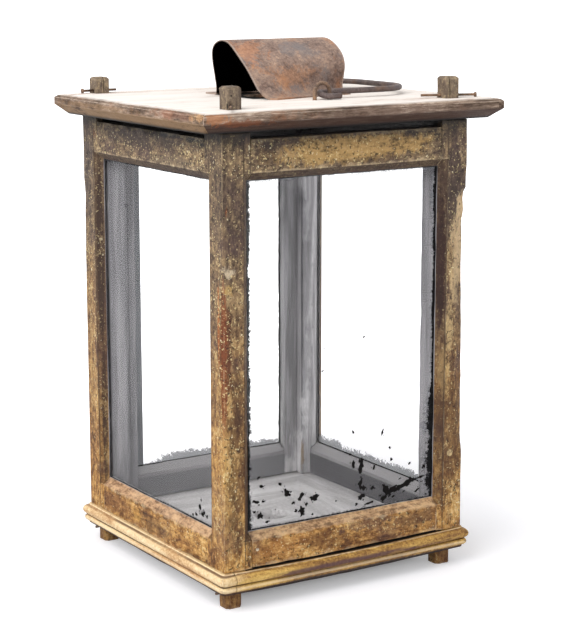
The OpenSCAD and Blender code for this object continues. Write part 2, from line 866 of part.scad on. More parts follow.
// The closed ring of points round the sheet's section at share t of the hood's length
function hood_ring(t) =
    let (
        run = hood_mix(hood_left_run, hood_right_run, t),
        over = [for (p = run) [p[0], max(p[1], sheet_t), p[2] * (1 - t)]],
        under = [for (p = side_step(over, -sheet_t)) [p[0], max(p[1], 0), p[2]]]
    )
        concat(under, [for (i = [len(over) - 1 : -1 : 0]) over[i]]);
module vent_hood() {
    rings = [for (k = [0 : hood_slices]) hood_ring(k / hood_slices)];
    count = len(rings[0]);
    half = count / 2;
    points = [
        for (k = [0 : hood_slices])
            for (p = rings[k])
                [hood_x0 + hood_l * k / hood_slices + p[2], p[0], lid_top + p[1]]
    ];
    walls = [
        for (k = [0 : hood_slices - 1])
            for (i = [0 : count - 1])
                let (
                    a = k * count + i,
                    b = k * count + (i + 1) % count,
                    c = b + count,
                    d = a + count
                )
                    each [[a, b, c], [a, c, d]]
    ];
    first = [
        for (i = [0 : half - 2])
            let (a = i, b = i + 1, c = count - 2 - i, d = count - 1 - i)
                each [[a, c, b], [a, d, c]]
    ];
    far = hood_slices * count;
    last = [for (f = first) [far + f[0], far + f[2], far + f[1]]];
    color([0.42, 0.33, 0.29])
        difference() {
            polyhedron(points, concat(walls, first, last));
            translate([0, 0, lid_top + sheet_t])
                for (at = hood_tack_xy)
                    translate([at[0], at[1], 0]) {
                        tack_hole();
                        cylinder(h = tack_head_t + 2, r = tack_head_d / 2 + nail_fit);
                    }
        }
}
module hood_tacks() {
    color([0.33, 0.27, 0.23])
        translate([0, 0, lid_top + sheet_t])
            for (at = hood_tack_xy)
                translate([at[0], at[1], 0])
                    tack();
}

// The bail is drawn with its legs along +X and the pivot at the origin
module rod_arc(radius, angle) {
    rotate_extrude(angle = angle)
        translate([radius, 0])
            circle(d = rod_d);
}
module rod_x(x0, x1) {
    translate([(x0 + x1) / 2, 0, 0])
        bar_x(x1 - x0, rod_d / 2);
}
// The hook at one end of the bail; the leg is at y = 0 and side points to the staple
module bail_hook(side) {
    rotate([-side * hook_turn, 0, 0])
        translate([hook_r, side * hook_r, 0]) {
            rotate([0, 0, 90])
                rod_arc(hook_r, 180);
            translate([0, side * hook_r, 0])
                rod_x(0, hook_tail);
        }
}
module bail() {
    color([0.30, 0.26, 0.27])
        translate([pivot_x, 0, pivot_z + leg_rise])
            union() {
                for (side = [-1, 1])
                    translate([0, side * bail_half_w, 0]) {
                        rod_x(hook_r, bail_leg);
                        bail_hook(side);
                        translate([bail_leg, -side * bail_corner, 0])
                            rotate([0, 0, side > 0 ? 0 : -90])
                                rod_arc(bail_corner, 90);
                    }
                translate([bail_leg + bail_corner, 0, 0])
                    bar_y(bail_end, rod_d / 2);
            }
}
// A staple over the bail's hook, with its ends bent over under the lid
module staple(side) {
    leg_l = staple_h + lid_t + staple_wire / 2;
    translate([staple_x, side * staple_y, lid_top + staple_h]) {
        rotate([90, 0, 0])
            rotate_extrude(angle = 180)
                translate([staple_r, 0])
                    circle(d = staple_wire);
        for (end = [-1, 1])
            translate([end * staple_r, 0, -leg_l]) {
                cylinder(h = leg_l, d = staple_wire);
                sphere(d = staple_wire);
                translate([end * clinch_l / 2, 0, 0])
                    bar_x(clinch_l, staple_wire / 2);
            }
    }
}
module staple_holes() {
    for (side = [-1, 1])
        for (end = [-1, 1])
            translate([staple_x + end * staple_r, side * staple_y, lid_bottom - 1])
                cylinder(h = lid_t + 2, r = staple_wire / 2 + nail_fit);
}
module bail_staple_front() {
    color([0.36, 0.31, 0.28])
        staple(-1);
}
module bail_staple_back() {
    color([0.36, 0.31, 0.28])
        staple(1);
}
module lid_nails() {
    color([0.33, 0.28, 0.25])
        for (side_x = [-1, 1])
            for (side_y = [-1, 1])
                lid_nail_at(side_x, side_y)
                    nail(is_back_left(side_x, side_y) ? short_nail_l : lid_nail_l);
}
module foot_nails() {
    color([0.33, 0.28, 0.25])
        for (side_x = [-1, 1])
            for (side_y = [-1, 1])
                foot_nail_at(side_x, side_y)
                    nail(foot_nail_l);
}
module rail_nails() {
    color([0.25, 0.20, 0.17])
        rail_nail_at()
            translate([0, 0, -nail_fit])
                translate([0, 0, -tack_l])
                    cylinder(h = tack_l, d = tack_d);
}

base_board();
post_front_left();
post_front_right();
post_back_left();
post_back_right();
front_top_rail();
front_bottom_rail();
left_top_rail();
left_bottom_rail();
right_top_rail();
right_bottom_rail();
back_top_rail();
front_glass();
left_glass();
right_glass();
door_hinge_stile();
door_free_stile();
door_top_rail();
door_bottom_rail();
door_glass();
hinge_post_leaves();
hinge_door_leaves();
hinge_pins();
hinge_post_nails();
hinge_door_nails();
turn_button();
button_nail();
lid_board();
vent_hood();
hood_tacks();
bail();
bail_staple_front();
bail_staple_back();
lid_nails();
foot_nails();
rail_nails();
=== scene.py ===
import math

import bmesh
import bpy
import numpy as np
from mathutils import Matrix, Vector


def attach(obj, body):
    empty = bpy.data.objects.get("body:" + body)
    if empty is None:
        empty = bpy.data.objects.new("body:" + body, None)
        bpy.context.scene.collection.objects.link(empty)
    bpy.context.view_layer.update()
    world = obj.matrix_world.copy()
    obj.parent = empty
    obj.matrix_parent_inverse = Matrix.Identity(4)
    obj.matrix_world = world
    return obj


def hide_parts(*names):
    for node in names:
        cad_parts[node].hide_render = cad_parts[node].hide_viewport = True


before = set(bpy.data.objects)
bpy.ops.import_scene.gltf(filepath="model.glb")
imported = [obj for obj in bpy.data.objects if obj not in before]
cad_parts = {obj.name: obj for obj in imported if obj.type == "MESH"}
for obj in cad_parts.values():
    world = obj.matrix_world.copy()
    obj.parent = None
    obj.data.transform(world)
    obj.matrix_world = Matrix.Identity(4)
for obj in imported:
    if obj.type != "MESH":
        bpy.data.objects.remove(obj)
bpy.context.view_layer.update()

scene = bpy.context.scene
mm = 0.001
print("stage: frame loaded,", len(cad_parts), "nodes")


def tone(red, green, blue):
    # turns a 0-255 screen colour into the linear colour that the sockets take
    values = [c / 255 for c in (red, green, blue)]
    return tuple(c / 12.92 if c <= 0.04045 else ((c + 0.055) / 1.055) ** 2.4 for c in values) + (1.0,)


def smoothNoise(points, cell, seed):
    # random values on a cubic lattice of this cell, blended smoothly between its eight corners
    scaled = np.asarray(points, float) / cell
    low = np.floor(scaled)
    part = scaled - low
    part = part * part * (3 - 2 * part)
    low = low.astype(np.int64)
    total = np.zeros(len(scaled))
    for corner in range(8):
        step = np.array([corner & 1, corner >> 1 & 1, corner >> 2 & 1])
        at = low + step
        mixed = at[:, 0] * 374761393 + at[:, 1] * 668265263 + at[:, 2] * 1440662683 + seed * 974711
        mixed = (mixed ^ (mixed >> 13)) * 1274126177
        mixed = ((mixed ^ (mixed >> 16)) & 65535) / 65535
        total += mixed * np.prod(np.where(step == 1, part, 1 - part), axis=1)
    return total * 2 - 1


def readPoints(mesh):
    flat = np.empty(len(mesh.vertices) * 3)
    mesh.vertices.foreach_get("co", flat)
    return flat.reshape(-1, 3)


def readNormals(mesh):
    flat = np.empty(len(mesh.vertices) * 3)
    mesh.vertex_normals.foreach_get("vector", flat)
    return flat.reshape(-1, 3)


def writePoints(mesh, points):
    mesh.vertices.foreach_set("co", np.asarray(points, float).ravel())
    mesh.update()


def writeMask(mesh, name, values):
    layer = mesh.attributes.get(name) or mesh.attributes.new(name, "FLOAT", "POINT")
    layer.data.foreach_set("value", np.asarray(values, float))


def addPiece(name, mesh, body, material, replaced=(), sharp=38):
    piece = bpy.data.objects.new(name, mesh)
    scene.collection.objects.link(piece)
    mesh.materials.clear()
    mesh.materials.append(material)
    mesh.shade_smooth()
    mesh.set_sharp_from_angle(angle=math.radians(sharp))
    if replaced:
        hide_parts(*replaced)
    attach(piece, body)
    return piece


def gridMesh(name, points, closeU=False, closeV=False):
    # points is a grid of rows and columns; each cell becomes one face
    rows, cols = points.shape[:2]
    u = np.arange(rows if closeU else rows - 1)
    v = np.arange(cols if closeV else cols - 1)
    u, v = np.meshgrid(u, v, indexing="ij")
    nextU, nextV = (u + 1) % rows, (v + 1) % cols
    faces = np.stack([u * cols + v, nextU * cols + v, nextU * cols + nextV, u * cols + nextV], -1)
    mesh = bpy.data.meshes.new(name)
    mesh.from_pydata(points.reshape(-1, 3).tolist(), [], faces.reshape(-1, 4).tolist())
    return mesh


cameraPlan = {
    "yaw": -31.82, "pitch": 11.22, "roll": -0.22,      # degrees, from straight edges of the photograph
    "target": (-0.0101, 0.0063, 0.1559), "distance": 1.2093,
    "lens": 104.52, "shiftX": 0.0507, "shiftY": 0.0074,
}


def placeCamera(plan):
    yaw, pitch, roll = (math.radians(plan[key]) for key in ("yaw", "pitch", "roll"))
    back = Vector((math.sin(yaw) * math.cos(pitch), -math.cos(yaw) * math.cos(pitch), math.sin(pitch)))
    level = (-back).cross(Vector((0, 0, 1))).normalized()
    upright = level.cross(-back)
    right = math.cos(roll) * level + math.sin(roll) * upright
    up = -math.sin(roll) * level + math.cos(roll) * upright
    lens = bpy.data.cameras.new("camera")
    lens.lens, lens.sensor_width, lens.sensor_fit = plan["lens"], 36, "AUTO"
    lens.shift_x, lens.shift_y = plan["shiftX"], plan["shiftY"]
    lens.clip_start, lens.clip_end = 0.05, 50
    camera = bpy.data.objects.new("camera", lens)
    scene.collection.objects.link(camera)
    turn = Matrix((right, up, back)).transposed().to_4x4()
    camera.matrix_world = Matrix.Translation(Vector(plan["target"]) + back * plan["distance"]) @ turn
    scene.camera = camera


lampPlan = {
    "key": {"place": (-1.9, -0.60, 1.9), "size": 2.3, "power": 70, "colour": (1.0, 0.985, 0.96)},
    "front": {"place": (-0.2, -2.3, 0.9), "size": 1.6, "power": 11, "colour": (1.0, 1.0, 1.0)},
    "top": {"place": (0.2, 0.5, 2.3), "size": 1.4, "power": 8, "colour": (1.0, 1.0, 1.0)},
}


def placeLamps(plan):
    aim = Vector((0, 0, 0.15))
    for name, row in plan.items():
        lamp = bpy.data.lights.new(name, "AREA")
        lamp.shape, lamp.size, lamp.energy, lamp.color = "SQUARE", row["size"], row["power"], row["colour"]
        holder = bpy.data.objects.new(name, lamp)
        holder.location = row["place"]
        holder.rotation_euler = (aim - Vector(row["place"])).to_track_quat("-Z", "Y").to_euler()
        scene.collection.objects.link(holder)


worldPlan = {"fill": 0.42, "seen": 1.15}


def paintWorld(plan):
    world = bpy.data.worlds.new("studio")
    scene.world = world
    world.use_nodes = True
    tree = world.node_tree
    tree.nodes.clear()
    path = tree.nodes.new("ShaderNodeLightPath")
    seen = calc(tree, "MAXIMUM", path.outputs["Is Camera Ray"], path.outputs["Is Transmission Ray"])
    seen = calc(tree, "MAXIMUM", seen, path.outputs["Is Glossy Ray"])
    strength = calc(tree, "MULTIPLY_ADD", seen, plan["seen"] - plan["fill"], plan["fill"])
    light = put(tree, "ShaderNodeBackground", {"Color": (1, 1, 1, 1), "Strength": strength})
    out = tree.nodes.new("ShaderNodeOutputWorld")
    tree.links.new(light.outputs[0], out.inputs[0])


floorPlan = {
    "colour": (0.80, 0.80, 0.84, 1), "size": 60, "half": 0.047,
    "near": 0.34, "nearReach": 0.032, "far": 0.90, "farFrom": 0.10, "farTo": 0.42,    # brightness added, distances in m
}


def layFloor(plan):
    # the light that is added grows with the distance from the lantern's footprint: none right under it
    half = plan["size"] / 2
    mesh = bpy.data.meshes.new("floor")
    mesh.from_pydata([(-half, -half, 0), (half, -half, 0), (half, half, 0), (-half, half, 0)], [], [(0, 1, 2, 3)])
    floor = bpy.data.objects.new("floor", mesh)
    scene.collection.objects.link(floor)
    material = bpy.data.materials.new("paleFloor")
    material.use_nodes = True
    tree = material.node_tree
    tree.nodes.clear()
    cloth = put(tree, "ShaderNodeBsdfDiffuse", {"Color": plan["colour"]})
    path = tree.nodes.new("ShaderNodeLightPath")
    seen = calc(tree, "MAXIMUM", path.outputs["Is Camera Ray"], path.outputs["Is Transmission Ray"])
    seen = calc(tree, "MAXIMUM", seen, path.outputs["Is Glossy Ray"])
    place = axisParts(tree, objectVector(tree))
    outX = calc(tree, "SUBTRACT", calc(tree, "ABSOLUTE", place[0]), plan["half"])
    outY = calc(tree, "SUBTRACT", calc(tree, "ABSOLUTE", place[1]), plan["half"])
    away = calc(tree, "MAXIMUM", outX, outY)
    near = calc(tree, "MULTIPLY", span(tree, away, 0.0, plan["nearReach"]), plan["near"])
    lift = calc(tree, "MULTIPLY_ADD", span(tree, away, plan["farFrom"], plan["farTo"]), plan["far"], near)
    glow = put(tree, "ShaderNodeEmission", {"Color": (1, 1, 1, 1), "Strength": calc(tree, "MULTIPLY", seen, lift)})
    both = put(tree, "ShaderNodeAddShader", {0: cloth.outputs[0], 1: glow.outputs[0]})
    out = tree.nodes.new("ShaderNodeOutputMaterial")
    tree.links.new(both.outputs[0], out.inputs[0])
    mesh.materials.append(material)


def put(tree, kind, inputs=None, **settings):
    node = tree.nodes.new(kind)
    for key, value in settings.items():
        setattr(node, key, value)
    for key, value in (inputs or {}).items():
        if isinstance(value, bpy.types.NodeSocket):
            tree.links.new(value, node.inputs[key])
        else:
            node.inputs[key].default_value = value
    return node


def calc(tree, operation, first, second=0.0, third=0.0, clamp=False):
    return put(tree, "ShaderNodeMath", {0: first, 1: second, 2: third}, operation=operation, use_clamp=clamp).outputs[0]


def span(tree, value, low, high):
    # 0 below low, 1 above high, smooth between; low may be above high
    flip = low > high
    node = put(tree, "ShaderNodeMapRange", {0: value, 1: min(low, high), 2: max(low, high),
                                            3: 1.0 if flip else 0.0, 4: 0.0 if flip else 1.0},
               interpolation_type="SMOOTHSTEP")
    return node.outputs[0]


def blendColour(tree, factor, first, second, mode="MIX"):
    node = put(tree, "ShaderNodeMix", {0: factor, 6: first, 7: second}, data_type="RGBA", blend_type=mode)
    return node.outputs[2]


def noise(tree, vector, scale, detail=3.0, rough=0.55, distort=0.0):
    return put(tree, "ShaderNodeTexNoise", {"Vector": vector, "Scale": scale, "Detail": detail,
                                            "Roughness": rough, "Distortion": distort}).outputs["Fac"]


def ramp(tree, value, stops):
    # stops: position and colour, in rising order; colours between two stops blend
    node = put(tree, "ShaderNodeValToRGB", {0: value})
    elements = node.color_ramp.elements
    elements[0].position, elements[-1].position = stops[0][0], stops[-1][0]
    for at, _ in stops[1:-1]:
        elements.new(at)
    for element, (_, colour) in zip(elements, stops):
        element.color = colour
    return node.outputs[0]


def newGroup(name, inputs, outputs):
    group = bpy.data.node_groups.new(name, "ShaderNodeTree")
    for label, kind, value in inputs:
        socket = group.interface.new_socket(name=label, in_out="INPUT", socket_type=kind)
        if value is not None:
            socket.default_value = value
    for label, kind in outputs:
        group.interface.new_socket(name=label, in_out="OUTPUT", socket_type=kind)
    return group, group.nodes.new("NodeGroupInput"), group.nodes.new("NodeGroupOutput")


def groupNode(tree, group, inputs):
    node = tree.nodes.new("ShaderNodeGroup")
    node.node_tree = group
    for key, value in inputs.items():
        if isinstance(value, bpy.types.NodeSocket):
            tree.links.new(value, node.inputs[key])
        else:
            node.inputs[key].default_value = value
    return node.outputs


def makeGrainGroup():
    # streaks and pores on a vector that is already stretched along the grain
    group, given, made = newGroup(
        "woodGrain",
        [("Vector", "NodeSocketVector", None), ("Fineness", "NodeSocketFloat", 1.0)],
        [("Streak", "NodeSocketFloat"), ("Pore", "NodeSocketFloat"), ("Height", "NodeSocketFloat")])
    vector = given.outputs["Vector"]
    fine = calc(group, "MULTIPLY", given.outputs["Fineness"], 900.0)
    wide = calc(group, "MULTIPLY", given.outputs["Fineness"], 190.0)
    streak = noise(group, vector, wide, 5.0, 0.62, 0.4)
    thread = noise(group, vector, fine, 3.0, 0.6)
    pore = span(group, thread, 0.50, 0.36)
    height = calc(group, "MULTIPLY_ADD", thread, 0.6, calc(group, "MULTIPLY", streak, 0.6))
    group.links.new(streak, made.inputs["Streak"])
    group.links.new(pore, made.inputs["Pore"])
    group.links.new(height, made.inputs["Height"])
    return group


def makeSpeckleGroup():
    # round specks: the share of cells given by Amount holds one, of a random size
    group, given, made = newGroup(
        "specks",
        [("Vector", "NodeSocketVector", None), ("Scale", "NodeSocketFloat", 600.0),
         ("Amount", "NodeSocketFloat", 0.3), ("Size", "NodeSocketFloat", 0.35)],
        [("Mask", "NodeSocketFloat")])
    bent = put(group, "ShaderNodeTexNoise", {"Vector": given.outputs["Vector"], "Scale": 900.0}).outputs["Color"]
    vector = put(group, "ShaderNodeVectorMath", {0: bent, 1: (0.0011, 0.0011, 0.0011), 2: given.outputs["Vector"]},
                 operation="MULTIPLY_ADD").outputs[0]
    cells = put(group, "ShaderNodeTexVoronoi", {"Vector": vector, "Scale": given.outputs["Scale"]})
    pick = put(group, "ShaderNodeSeparateColor", {0: cells.outputs["Color"]})
    chosen = calc(group, "LESS_THAN", pick.outputs[0], given.outputs["Amount"])
    radius = calc(group, "MULTIPLY_ADD", pick.outputs[1], 0.7, 0.4)
    radius = calc(group, "MULTIPLY", radius, given.outputs["Size"])
    edge = calc(group, "SUBTRACT", radius, cells.outputs["Distance"])
    mask = calc(group, "MULTIPLY", span(group, edge, 0.0, 0.12), chosen)
    group.links.new(mask, made.inputs["Mask"])
    return group


def makeRubGroup():
    # bare worn edges: the edge attribute broken up by noise
    group, given, made = newGroup(
        "edgeRub",
        [("Edge", "NodeSocketFloat", 0.0), ("Vector", "NodeSocketVector", None), ("Amount", "NodeSocketFloat", 0.5)],
        [("Mask", "NodeSocketFloat")])
    broken = noise(group, given.outputs["Vector"], 120.0, 5.0, 0.65)
    reach = calc(group, "MULTIPLY_ADD", given.outputs["Edge"], given.outputs["Amount"], broken)
    group.links.new(span(group, reach, 0.74, 0.98), made.inputs["Mask"])
    return group


def makeBlotchGroup():
    # soft stains of two sizes
    group, given, made = newGroup(
        "stains",
        [("Vector", "NodeSocketVector", None), ("Scale", "NodeSocketFloat", 30.0)],
        [("Broad", "NodeSocketFloat"), ("Small", "NodeSocketFloat")])
    broad = noise(group, given.outputs["Vector"], given.outputs["Scale"], 4.0, 0.6, 0.3)
    small = noise(group, given.outputs["Vector"], calc(group, "MULTIPLY", given.outputs["Scale"], 5.0), 5.0, 0.65, 0.5)
    group.links.new(span(group, broad, 0.38, 0.66), made.inputs["Broad"])
    group.links.new(span(group, small, 0.38, 0.66), made.inputs["Small"])
    return group


def makeMarkGroup():
    # one stain: a ball of the given half sizes round Centre, its rim torn by noise that follows the grain
    group, given, made = newGroup(
        "mark",
        [("Vector", "NodeSocketVector", None), ("Centre", "NodeSocketVector", None),
         ("Size", "NodeSocketVector", None), ("Ragged", "NodeSocketFloat", 0.6)],
        [("Mask", "NodeSocketFloat")])
    away = put(group, "ShaderNodeVectorMath", {0: given.outputs["Vector"], 1: given.outputs["Centre"]}, operation="SUBTRACT")
    away = put(group, "ShaderNodeVectorMath", {0: away.outputs[0], 1: given.outputs["Size"]}, operation="DIVIDE")
    length = put(group, "ShaderNodeVectorMath", {0: away.outputs[0]}, operation="LENGTH").outputs["Value"]
    drawn = put(group, "ShaderNodeMapping", {"Vector": given.outputs["Vector"], "Scale": (1, 1, 0.5)}).outputs[0]
    torn = calc(group, "SUBTRACT", noise(group, drawn, 320.0, 8.0, 0.82), 0.5)
    broad = calc(group, "SUBTRACT", noise(group, given.outputs["Vector"], 70.0, 3.0, 0.6), 0.5)
    length = calc(group, "MULTIPLY_ADD", calc(group, "MULTIPLY_ADD", torn, 1.6, broad), given.outputs["Ragged"], length)
    group.links.new(span(group, length, 1.0, 0.62), made.inputs["Mask"])
    return group


grainGroup = makeGrainGroup()
speckGroup = makeSpeckleGroup()
rubGroup = makeRubGroup()
stainGroup = makeBlotchGroup()
markGroup = makeMarkGroup()


def addMarks(tree, vector, colour, marks, value=0.6):
    # each mark: centre and half sizes in mm, colour, strength, raggedness; value shades the paint with the wood's pattern
    shade = ramp(tree, value, [(0.15, (0.3, 0.3, 0.3, 1)), (0.45, (0.78, 0.78, 0.78, 1)), (0.75, (1, 1, 1, 1))])
    for centre, size, paint, strength, ragged in marks:
        mask = groupNode(tree, markGroup, {"Vector": vector, "Centre": [c * mm for c in centre],
                                           "Size": [c * mm for c in size], "Ragged": ragged})[0]
        colour = blendColour(tree, calc(tree, "MULTIPLY", mask, strength), colour, blendColour(tree, 1.0, paint, shade, "MULTIPLY"))
    return colour


def newMaterial(name):
    material = bpy.data.materials.new(name)
    material.use_nodes = True
    tree = material.node_tree
    tree.nodes.clear()
    shader = tree.nodes.new("ShaderNodeBsdfPrincipled")
    out = tree.nodes.new("ShaderNodeOutputMaterial")
    tree.links.new(shader.outputs[0], out.inputs[0])
    return material, tree, shader


def objectVector(tree):
    return tree.nodes.new("ShaderNodeTexCoord").outputs["Object"]


def stretched(tree, vector, along, amount=0.07):
    # slows the pattern down along the grain's axis
    scale = [1.0, 1.0, 1.0]
    scale["xyz".index(along)] = amount
    return put(tree, "ShaderNodeMapping", {"Vector": vector, "Scale": scale}).outputs[0]


def axisParts(tree, vector):
    return put(tree, "ShaderNodeSeparateXYZ", {0: vector}).outputs


def attribute(tree, name):
    return put(tree, "ShaderNodeAttribute", attribute_name=name).outputs["Fac"]


def bump(tree, shader, height, distance, strength=1.0):
    node = put(tree, "ShaderNodeBump", {"Strength": strength, "Distance": distance, "Height": height})
    tree.links.new(node.outputs[0], shader.inputs["Normal"])


woodPlan = {
    # colours from the dirt in the hollows to the rubbed highest fibres, low down and high up; the darker high-up
    # colours are partly the wood's own and partly painted shade under the lid
    "low": [tone(52, 30, 18), tone(114, 74, 38), tone(168, 122, 66), tone(206, 160, 92), tone(236, 202, 142)],
    "high": [tone(28, 21, 19), tone(76, 61, 50), tone(116, 96, 74), tone(148, 124, 92), tone(198, 172, 130)],
    "at": (0.10, 0.34, 0.54, 0.72, 0.96), "contrast": 3.7,
    "cream": tone(236, 212, 172), "purple": tone(86, 66, 66), "dark": tone(44, 30, 22),
    "bareLeft": tone(120, 60, 30), "bareRight": tone(222, 190, 146),
    "inside": tone(148, 146, 149), "insideDark": tone(102, 101, 105), "shadedRailFace": tone(82, 81, 84), "litRailTop": tone(142, 140, 142),
    "farInside": tone(206, 204, 206), "farDark": tone(146, 144, 146), "farRail": tone(116, 115, 118),
    "sootAndShade": tone(14, 11, 10),
    "sill": tone(216, 184, 148), "sillEnd": tone(214, 180, 150), "shadedLintel": tone(56, 40, 32), "bevel": tone(64, 44, 32),
    "grey": tone(118, 103, 92), "foot": tone(70, 40, 20),
    "paneX": 0.0850, "paneY": 0.0840, "insideLow": 0.0245, "insideHigh": 0.2915,
    "bevelX": 0.0750, "bevelY": 0.0740,                # outer edges of the upright bevels
    "sillLow": 0.0425, "sillHigh": 0.0475, "lintelLow": 0.2618, "lintelHigh": 0.2668,
    "lidTop": 0.3041,
    # dots: noise scale, where they begin and are full, colour, strength
    "crumbs": [(500, 0.60, 0.68, tone(26, 18, 14), 0.75), (760, 0.61, 0.69, tone(220, 200, 146), 0.75),
               (470, 0.69, 0.73, tone(238, 226, 188), 0.75)],
}
# marks: centre, half sizes (mm), colour, strength, raggedness
postMarks = [
    ((-88, -88, 158), (4.5, 5.0, 42), tone(94, 46, 24), 0.8, 1.3),       # bare reddish corner, front left
    ((-90, -84, 180), (1.3, 1.4, 30), tone(176, 96, 36), 0.7, 1.3),
    ((-87, -90, 246), (1.6, 1.4, 9), tone(168, 84, 34), 0.85, 0.8),
    ((-86, -89, 209), (5, 4, 4.0), tone(232, 212, 180), 0.8, 2.0),
    ((-86, -89, 199), (5, 4, 4.2), tone(202, 166, 100), 0.7, 2.0),
    ((-86, -89, 84), (6, 3, 34), tone(206, 166, 100), 0.4, 2.4),
    ((-80, -89, 100), (7, 3, 76), tone(70, 48, 36), 0.6, 1.4),
    ((82, -89, 250), (10, 5, 30), tone(74, 58, 54), 0.7, 1.4),           # purple-brown top, front right
    ((73, -86, 196), (3.2, 6, 40), tone(50, 24, 18), 0.95, 1.0),
    ((80, -88, 88), (13, 8, 52), tone(84, 60, 42), 0.6, 1.4),
    ((87, -88, 224), (3.8, 6, 26), tone(228, 202, 164), 0.85, 1.5),      # long pale streak
    ((82.5, -89, 188), (5.4, 5, 18), tone(222, 192, 146), 0.8, 1.7),
    ((78, -89, 160), (3.4, 5, 24), tone(218, 186, 134), 0.8, 1.7),
    ((75, -87, 132), (4.0, 5, 18), tone(214, 178, 120), 0.75, 1.7),
    ((80.5, -89, 76), (2.4, 3, 2.2), tone(232, 204, 152), 0.9, 1.2),
    ((-90, 84, 256), (5, 9, 30), tone(96, 84, 78), 0.6, 1.2),
    ((-90, 80, 120), (5, 5, 50), tone(190, 152, 100), 0.35, 2.0),
    ((-87.5, 71.6, 200), (4, 2.5, 78), tone(10, 8, 8), 0.95, 0.35),        # black edge along the left pane: soot and painted shade on the bevel
    ((-87.5, 71.0, 90), (4, 1.7, 60), tone(12, 9, 8), 0.85, 0.6),
    ((-90, 72.6, 279.0), (1.6, 1.6, 1.9), tone(20, 14, 12), 0.95, 0.5),  # nail rust
    ((-90, 72.6, 279.0), (3.4, 3.4, 3.4), tone(150, 104, 70), 0.45, 1.4),
]
tenonMarks = [
    ((-81.4, -85.5, 312.2), (0.8, 1.5, 0.7), tone(10, 8, 8), 0.98, 0.3),  # holes and splits above the lid
    ((-86.8, -85.5, 307.2), (0.5, 1.5, 1.4), tone(14, 10, 9), 0.95, 0.4),
    ((-83.6, -85.5, 306.4), (0.35, 1.5, 2.2), tone(20, 14, 12), 0.9, 0.6),
    ((-83.7, 76.5, 308.0), (1.5, 0.5, 4.5), tone(12, 10, 9), 0.95, 0.5),
    ((71.5, -85.5, 309.0), (0.5, 1.5, 6.0), tone(16, 12, 10), 0.95, 0.4),
]
edgeMarks = [
    ((72.4, -86, 204), (3.0, 5, 60), tone(44, 22, 16), 0.85, 0.9),        # dark bevel of the front right post: painted shade
    ((-72.4, -86, 60), (2.4, 5, 60), tone(52, 30, 20), 0.6, 1.2),
]
insideMarks = [
    ((64, 74, 150), (17, 16, 140), tone(74, 72, 76), 0.5, 0.8),          # the far corner is darker: painted shade in the inside corner
    ((69.5, 69.5, 150), (1.6, 1.6, 120), tone(34, 33, 38), 0.7, 0.9),
    ((54.2, 69, 46), (2.2, 2.5, 9), tone(150, 124, 96), 0.8, 1.5),      # beige patches, far corner
    ((55.4, 69, 33), (1.8, 2.5, 7), tone(140, 116, 92), 0.7, 1.4),
    ((70, 69.5, 40), (2.5, 1.1, 12), tone(140, 118, 92), 0.75, 1.4),
    ((61, 69, 112), (2.4, 3, 60), tone(116, 102, 88), 0.45, 2.4),
    ((58, 70, 224), (13, 6, 5), tone(34, 32, 36), 0.6, 1.6),
    ((-66, 73, 229.3), (3.0, 8, 2.0), tone(88, 87, 92), 0.7, 0.8),       # knot
    ((-64.8, 76, 150), (0.6, 8, 112), tone(84, 84, 90), 0.6, 0.3),
]
railMarks = {
    "x": [((4, -89, 278), (72, 3, 10), tone(196, 158, 98), 0.85, 1.4),     # front rails
          ((-60, -89, 280), (12, 3, 8), tone(62, 46, 42), 0.75, 1.6),
          ((20, -89, 270), (30, 3, 2.4), tone(96, 72, 50), 0.5, 1.8),
          ((-46, -89, 36), (20, 3, 8), tone(176, 118, 62), 0.45, 1.8),
          ((-14, -89, 34), (20, 3, 7), tone(96, 58, 34), 0.5, 1.8),
          ((14, -89, 39), (22, 3, 3.8), tone(94, 66, 60), 0.65, 1.7),
          ((52, -89, 36), (14, 3, 6), tone(92, 66, 52), 0.5, 1.8),
          ((-66.5, -89, 36.5), (1.3, 3, 1.1), tone(244, 232, 206), 0.9, 0.8)],
    "y": [((-90, 10, 280), (3, 60, 6), tone(54, 44, 40), 0.55, 1.6),      # rails of the left end; the first mark, a dark band under the lid, is dirt and painted shade
          ((-90, -34, 270), (3, 34, 4), tone(126, 110, 92), 0.4, 1.8),
          # black along the top, under the lid's edge: painted shadow of the lid
          ((-90, -62, 287.5), (3, 18, 7.5), tone(12, 9, 9), 0.95, 0.8),
          ((-90, -30, 288.5), (3, 36, 5.2), tone(12, 9, 9), 0.9, 0.8),
          ((-90, 14, 288.5), (3, 60, 3.4), tone(12, 9, 9), 0.9, 0.8),
          ((-90, -65.4, 276.8), (2, 1.5, 1.8), tone(18, 12, 10), 0.95, 0.5),
          ((-90, -65.4, 276.8), (2, 3.2, 3.4), tone(84, 52, 36), 0.6, 1.4),
          ((-90, 48, 35), (3, 26, 8), tone(120, 74, 40), 0.5, 1.6),
          ((-90, 2, 32), (3, 22, 7), tone(128, 98, 62), 0.5, 2.0),
          ((-90, 22, 34), (3, 8, 6), tone(206, 156, 76), 0.5, 1.8)],
}


def insideMask(tree, place, plan):
    # 1 where the wood is behind the panes, and so was never varnished
    inX = calc(tree, "LESS_THAN", calc(tree, "ABSOLUTE", place[0]), plan["paneX"])
    inY = calc(tree, "LESS_THAN", calc(tree, "ABSOLUTE", place[1]), plan["paneY"])
    tall = calc(tree, "MULTIPLY", calc(tree, "GREATER_THAN", place[2], plan["insideLow"]),
                calc(tree, "LESS_THAN", place[2], plan["insideHigh"]))
    return calc(tree, "MULTIPLY", calc(tree, "MULTIPLY", inX, inY), tall)


def nearValue(tree, value, middle, half):
    # 1 at the middle, 0 from half away
    return span(tree, calc(tree, "ABSOLUTE", calc(tree, "SUBTRACT", value, middle)), half, half * 0.3)


